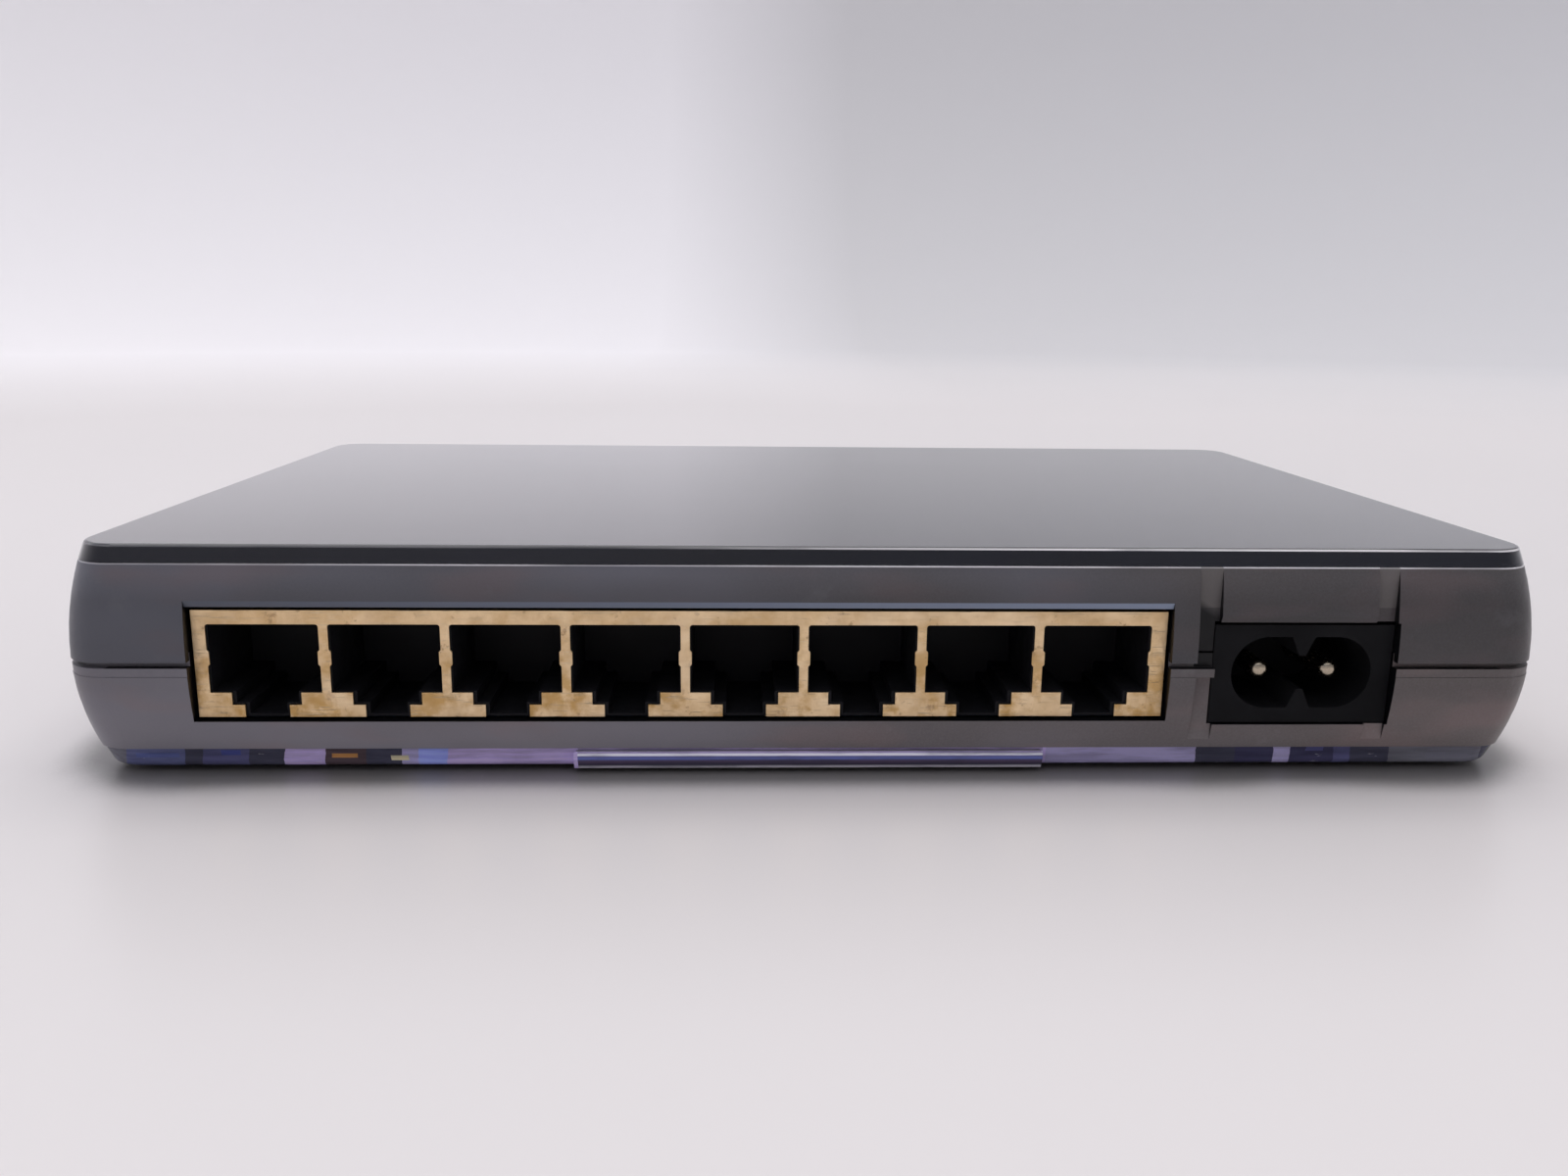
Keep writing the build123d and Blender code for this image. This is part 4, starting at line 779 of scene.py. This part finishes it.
def pale_stage():
    """Pale floor with a contact shadow, and a wall with painted shade that darkens it to the right and to
    the front.
    """
    s = Shader("floor")
    soft = s.ramp(s.noise(0.4, 2.0), (0.3, 0.0), (0.7, 1.0))
    table = s.mix(soft, FLOOR_TINT, scaled(FLOOR_TINT, 1.04))
    shade = s.mix(s.open_air(CONTACT_REACH, *CONTACT_AIR), scaled(FLOOR_TINT, CONTACT_SHADE), table)
    length = s.add("ShaderNodeVectorMath", operation="LENGTH")
    s.join(s.stretch(1.0, 1.0, 0.0), length.inputs[0])
    away = length.outputs["Value"]
    # Painted shade: the wall darker to the right and towards the front
    wall = s.mix(s.step(s.axis("X"), *WALL_FADE), WALL_LEFT, WALL_RIGHT)
    wall = s.mix(1.0, wall, s.grey(s.step(s.axis("Y"), *WALL_FRONT_SHADE)), "MULTIPLY")
    s.set(Base_Color=s.mix(s.step(away, FLOOR_HUB, BACKDROP_PLACE), shade, wall))
    s.set(Roughness=s.step(away, *FLOOR_ROUGH), Specular_IOR_Level=0.45)
    return s.material


def add_top_light():
    """One wide soft light, above and a little behind the object, turned to it."""
    data = bpy.data.lights.new("top_light", "AREA")
    data.shape = "RECTANGLE"
    data.size, data.size_y = TOP_SIZE
    data.energy = TOP_POWER
    data.color = TOP_TINT
    light = bpy.data.objects.new("top_light", data)
    light.location = TOP_PLACE
    light.rotation_mode = "QUATERNION"
    light.rotation_quaternion = (-Vector(TOP_PLACE)).to_track_quat("-Z", "Y")
    bpy.context.scene.collection.objects.link(light)


def add_sky():
    """Light of the room: bright behind and above, dim in front, cool at the left, warm at the right."""
    world = bpy.data.worlds.new("studio")
    world.use_nodes = True
    sky = Nodes(world.node_tree)
    way = sky.split(sky.add("ShaderNodeTexCoord").outputs["Generated"])
    behind = sky.step(way["Y"], *SKY_BEHIND, kind="SMOOTHSTEP")
    above = sky.step(way["Z"], *SKY_ABOVE, kind="SMOOTHSTEP")
    side = sky.step(way["X"], *SKY_SIDE, kind="SMOOTHSTEP")
    dim = sky.mix(side, DARK_LEFT, DARK_RIGHT)
    bright = sky.mix(side, SKY_LEFT, SKY_RIGHT)
    background = world.node_tree.nodes["Background"]
    sky.join(sky.mix(sky.maths("MAXIMUM", behind, above), dim, bright), background.inputs["Color"])
    background.inputs["Strength"].default_value = SKY_STRENGTH
    bpy.context.scene.world = world
    bpy.context.scene.view_settings.view_transform = "Standard"


def add_camera():
    """Camera at the driving place, turned down by the pitch, to the right by the yaw, then rolled."""
    pitch, yaw, roll = radians(CAMERA_PITCH), radians(CAMERA_YAW), radians(CAMERA_ROLL)
    forward = Vector((sin(yaw) * cos(pitch), cos(yaw) * cos(pitch), -sin(pitch)))
    level = Vector((cos(yaw), -sin(yaw), 0))
    upright = level.cross(forward)
    right = cos(roll) * level + sin(roll) * upright
    up = cos(roll) * upright - sin(roll) * level
    data = bpy.data.cameras.new("camera")
    data.sensor_width = CAMERA_SENSOR
    data.lens = CAMERA_LENS
    data.clip_start = CAMERA_NEAR
    camera = bpy.data.objects.new("camera", data)
    turn = Matrix((right, up, -forward)).transposed().to_4x4()
    camera.matrix_world = Matrix.Translation(CAMERA_PLACE) @ turn
    bpy.context.scene.collection.objects.link(camera)
    bpy.context.scene.camera = camera


# ---------------------------------------------------------------- assembly
def paint_casing():
    """Outer parts that the hand meets."""
    paint(gloss_plate(), "top_plate")
    paint(smoked_upper(), "upper_shell")
    paint(smoked_lower(), "lower_shell")
    paint(rubber(), "rubber_feet")
    paint(metal("screw_zinc", (0.5, 0.5, 0.5), rough=0.35), "case_screws")
    paint(paper_label(), "rating_label")
    paint(clear_plastic("window_smoke", (0.05, 0.052, 0.06), rough=0.06, clear=0.6), "led_window")


def paint_connectors():
    """Ports and mains inlet."""
    combs = [f"port_{number}_contacts" for number in range(1, PORTS + 1)]
    gold = metal("contact_gold", (0.83, 0.6, 0.26), rough=0.25, grain=(6.0, 1.0, 1.0))
    nickel = metal("pin_nickel", (0.55, 0.47, 0.36), rough=0.2, grain=(6.0, 1.0, 6.0))
    insulator = moulded("insulator_black", (0.009, 0.009, 0.011), rough=0.5, shine=0.12)
    coarse = moulded(
        "inlet_black", (0.008, 0.008, 0.009), rough=0.5, grain_size=0.00025, depth=0.2, shine=0.06
    )
    paint(bronze_sheet(), "jack_shield")
    paint(insulator, "jack_housing")
    paint(gold, "jack_leads", *combs)
    paint(coarse, "inlet_body")
    paint(nickel, "inlet_pins")


def paint_electronics():
    """Everything on the board and in the mains supply, and the lights."""
    chips = ["magnetics_modules", "switch_chip", "memory_chip", "regulator_chip", "bridge_rectifier"]
    chips += ["supply_controller", "output_diode"]
    aluminium = metal("sink_aluminium", (0.62, 0.62, 0.64), rough=0.35, grain=(1.0, 6.0, 1.0))
    paint(solder_mask(), "main_board")
    paint(moulded("chip_epoxy", (0.012, 0.012, 0.013), rough=0.5), *chips)
    paint(aluminium, "switch_heat_sink", "diode_heat_sink")
    paint(metal("can_metal", (0.7, 0.7, 0.71), rough=0.25), "crystal", "filter_capacitors")
    paint(ferrite(), "power_inductors", "choke_core", "transformer_core", "output_inductor")
    paint(moulded("ceramic_tan", (0.32, 0.2, 0.1), rough=0.3), "chip_capacitors")
    paint(moulded("ceramic_dark", (0.015, 0.015, 0.018), rough=0.3), "chip_resistors")
    paint(moulded("fuse_ceramic", (0.7, 0.68, 0.6), rough=0.25), "mains_fuse")
    paint(metal("clip_brass", (0.72, 0.56, 0.3), rough=0.3), "fuse_clips")
    paint(moulded("film_yellow", (0.55, 0.33, 0.03), rough=0.3), "mains_filter_capacitor")
    paint(wound("winding_copper", (0.55, 0.2, 0.07), axis="Y", wire=0.0008), "choke_windings")
    paint(moulded("sleeve_dark", (0.012, 0.018, 0.06), rough=0.25), "bulk_capacitor", "output_capacitors")
    paint(moulded("opto_cream", (0.6, 0.57, 0.48), rough=0.45), "optocoupler")
    paint(moulded("bobbin_black", (0.012, 0.012, 0.012), rough=0.5), "transformer_bobbin")
    paint(wound("tape_yellow", (0.75, 0.52, 0.04), axis="Z", wire=0.004), "transformer_winding")
    paint(clear_plastic("guide_clear", (0.8, 0.82, 0.84)), "light_guide")
    paint(clear_plastic("led_cap", (0.7, 0.8, 0.55), rough=0.15, clear=0.6), "status_leds")
    paint(clear_plastic("film_sheet", (0.6, 0.6, 0.56), rough=0.3, clear=0.4), "insulation_sheet")


add_camera()
add_stage()
add_top_light()
add_sky()
paint_casing()
paint_connectors()
paint_electronics()
add_light_numbers()
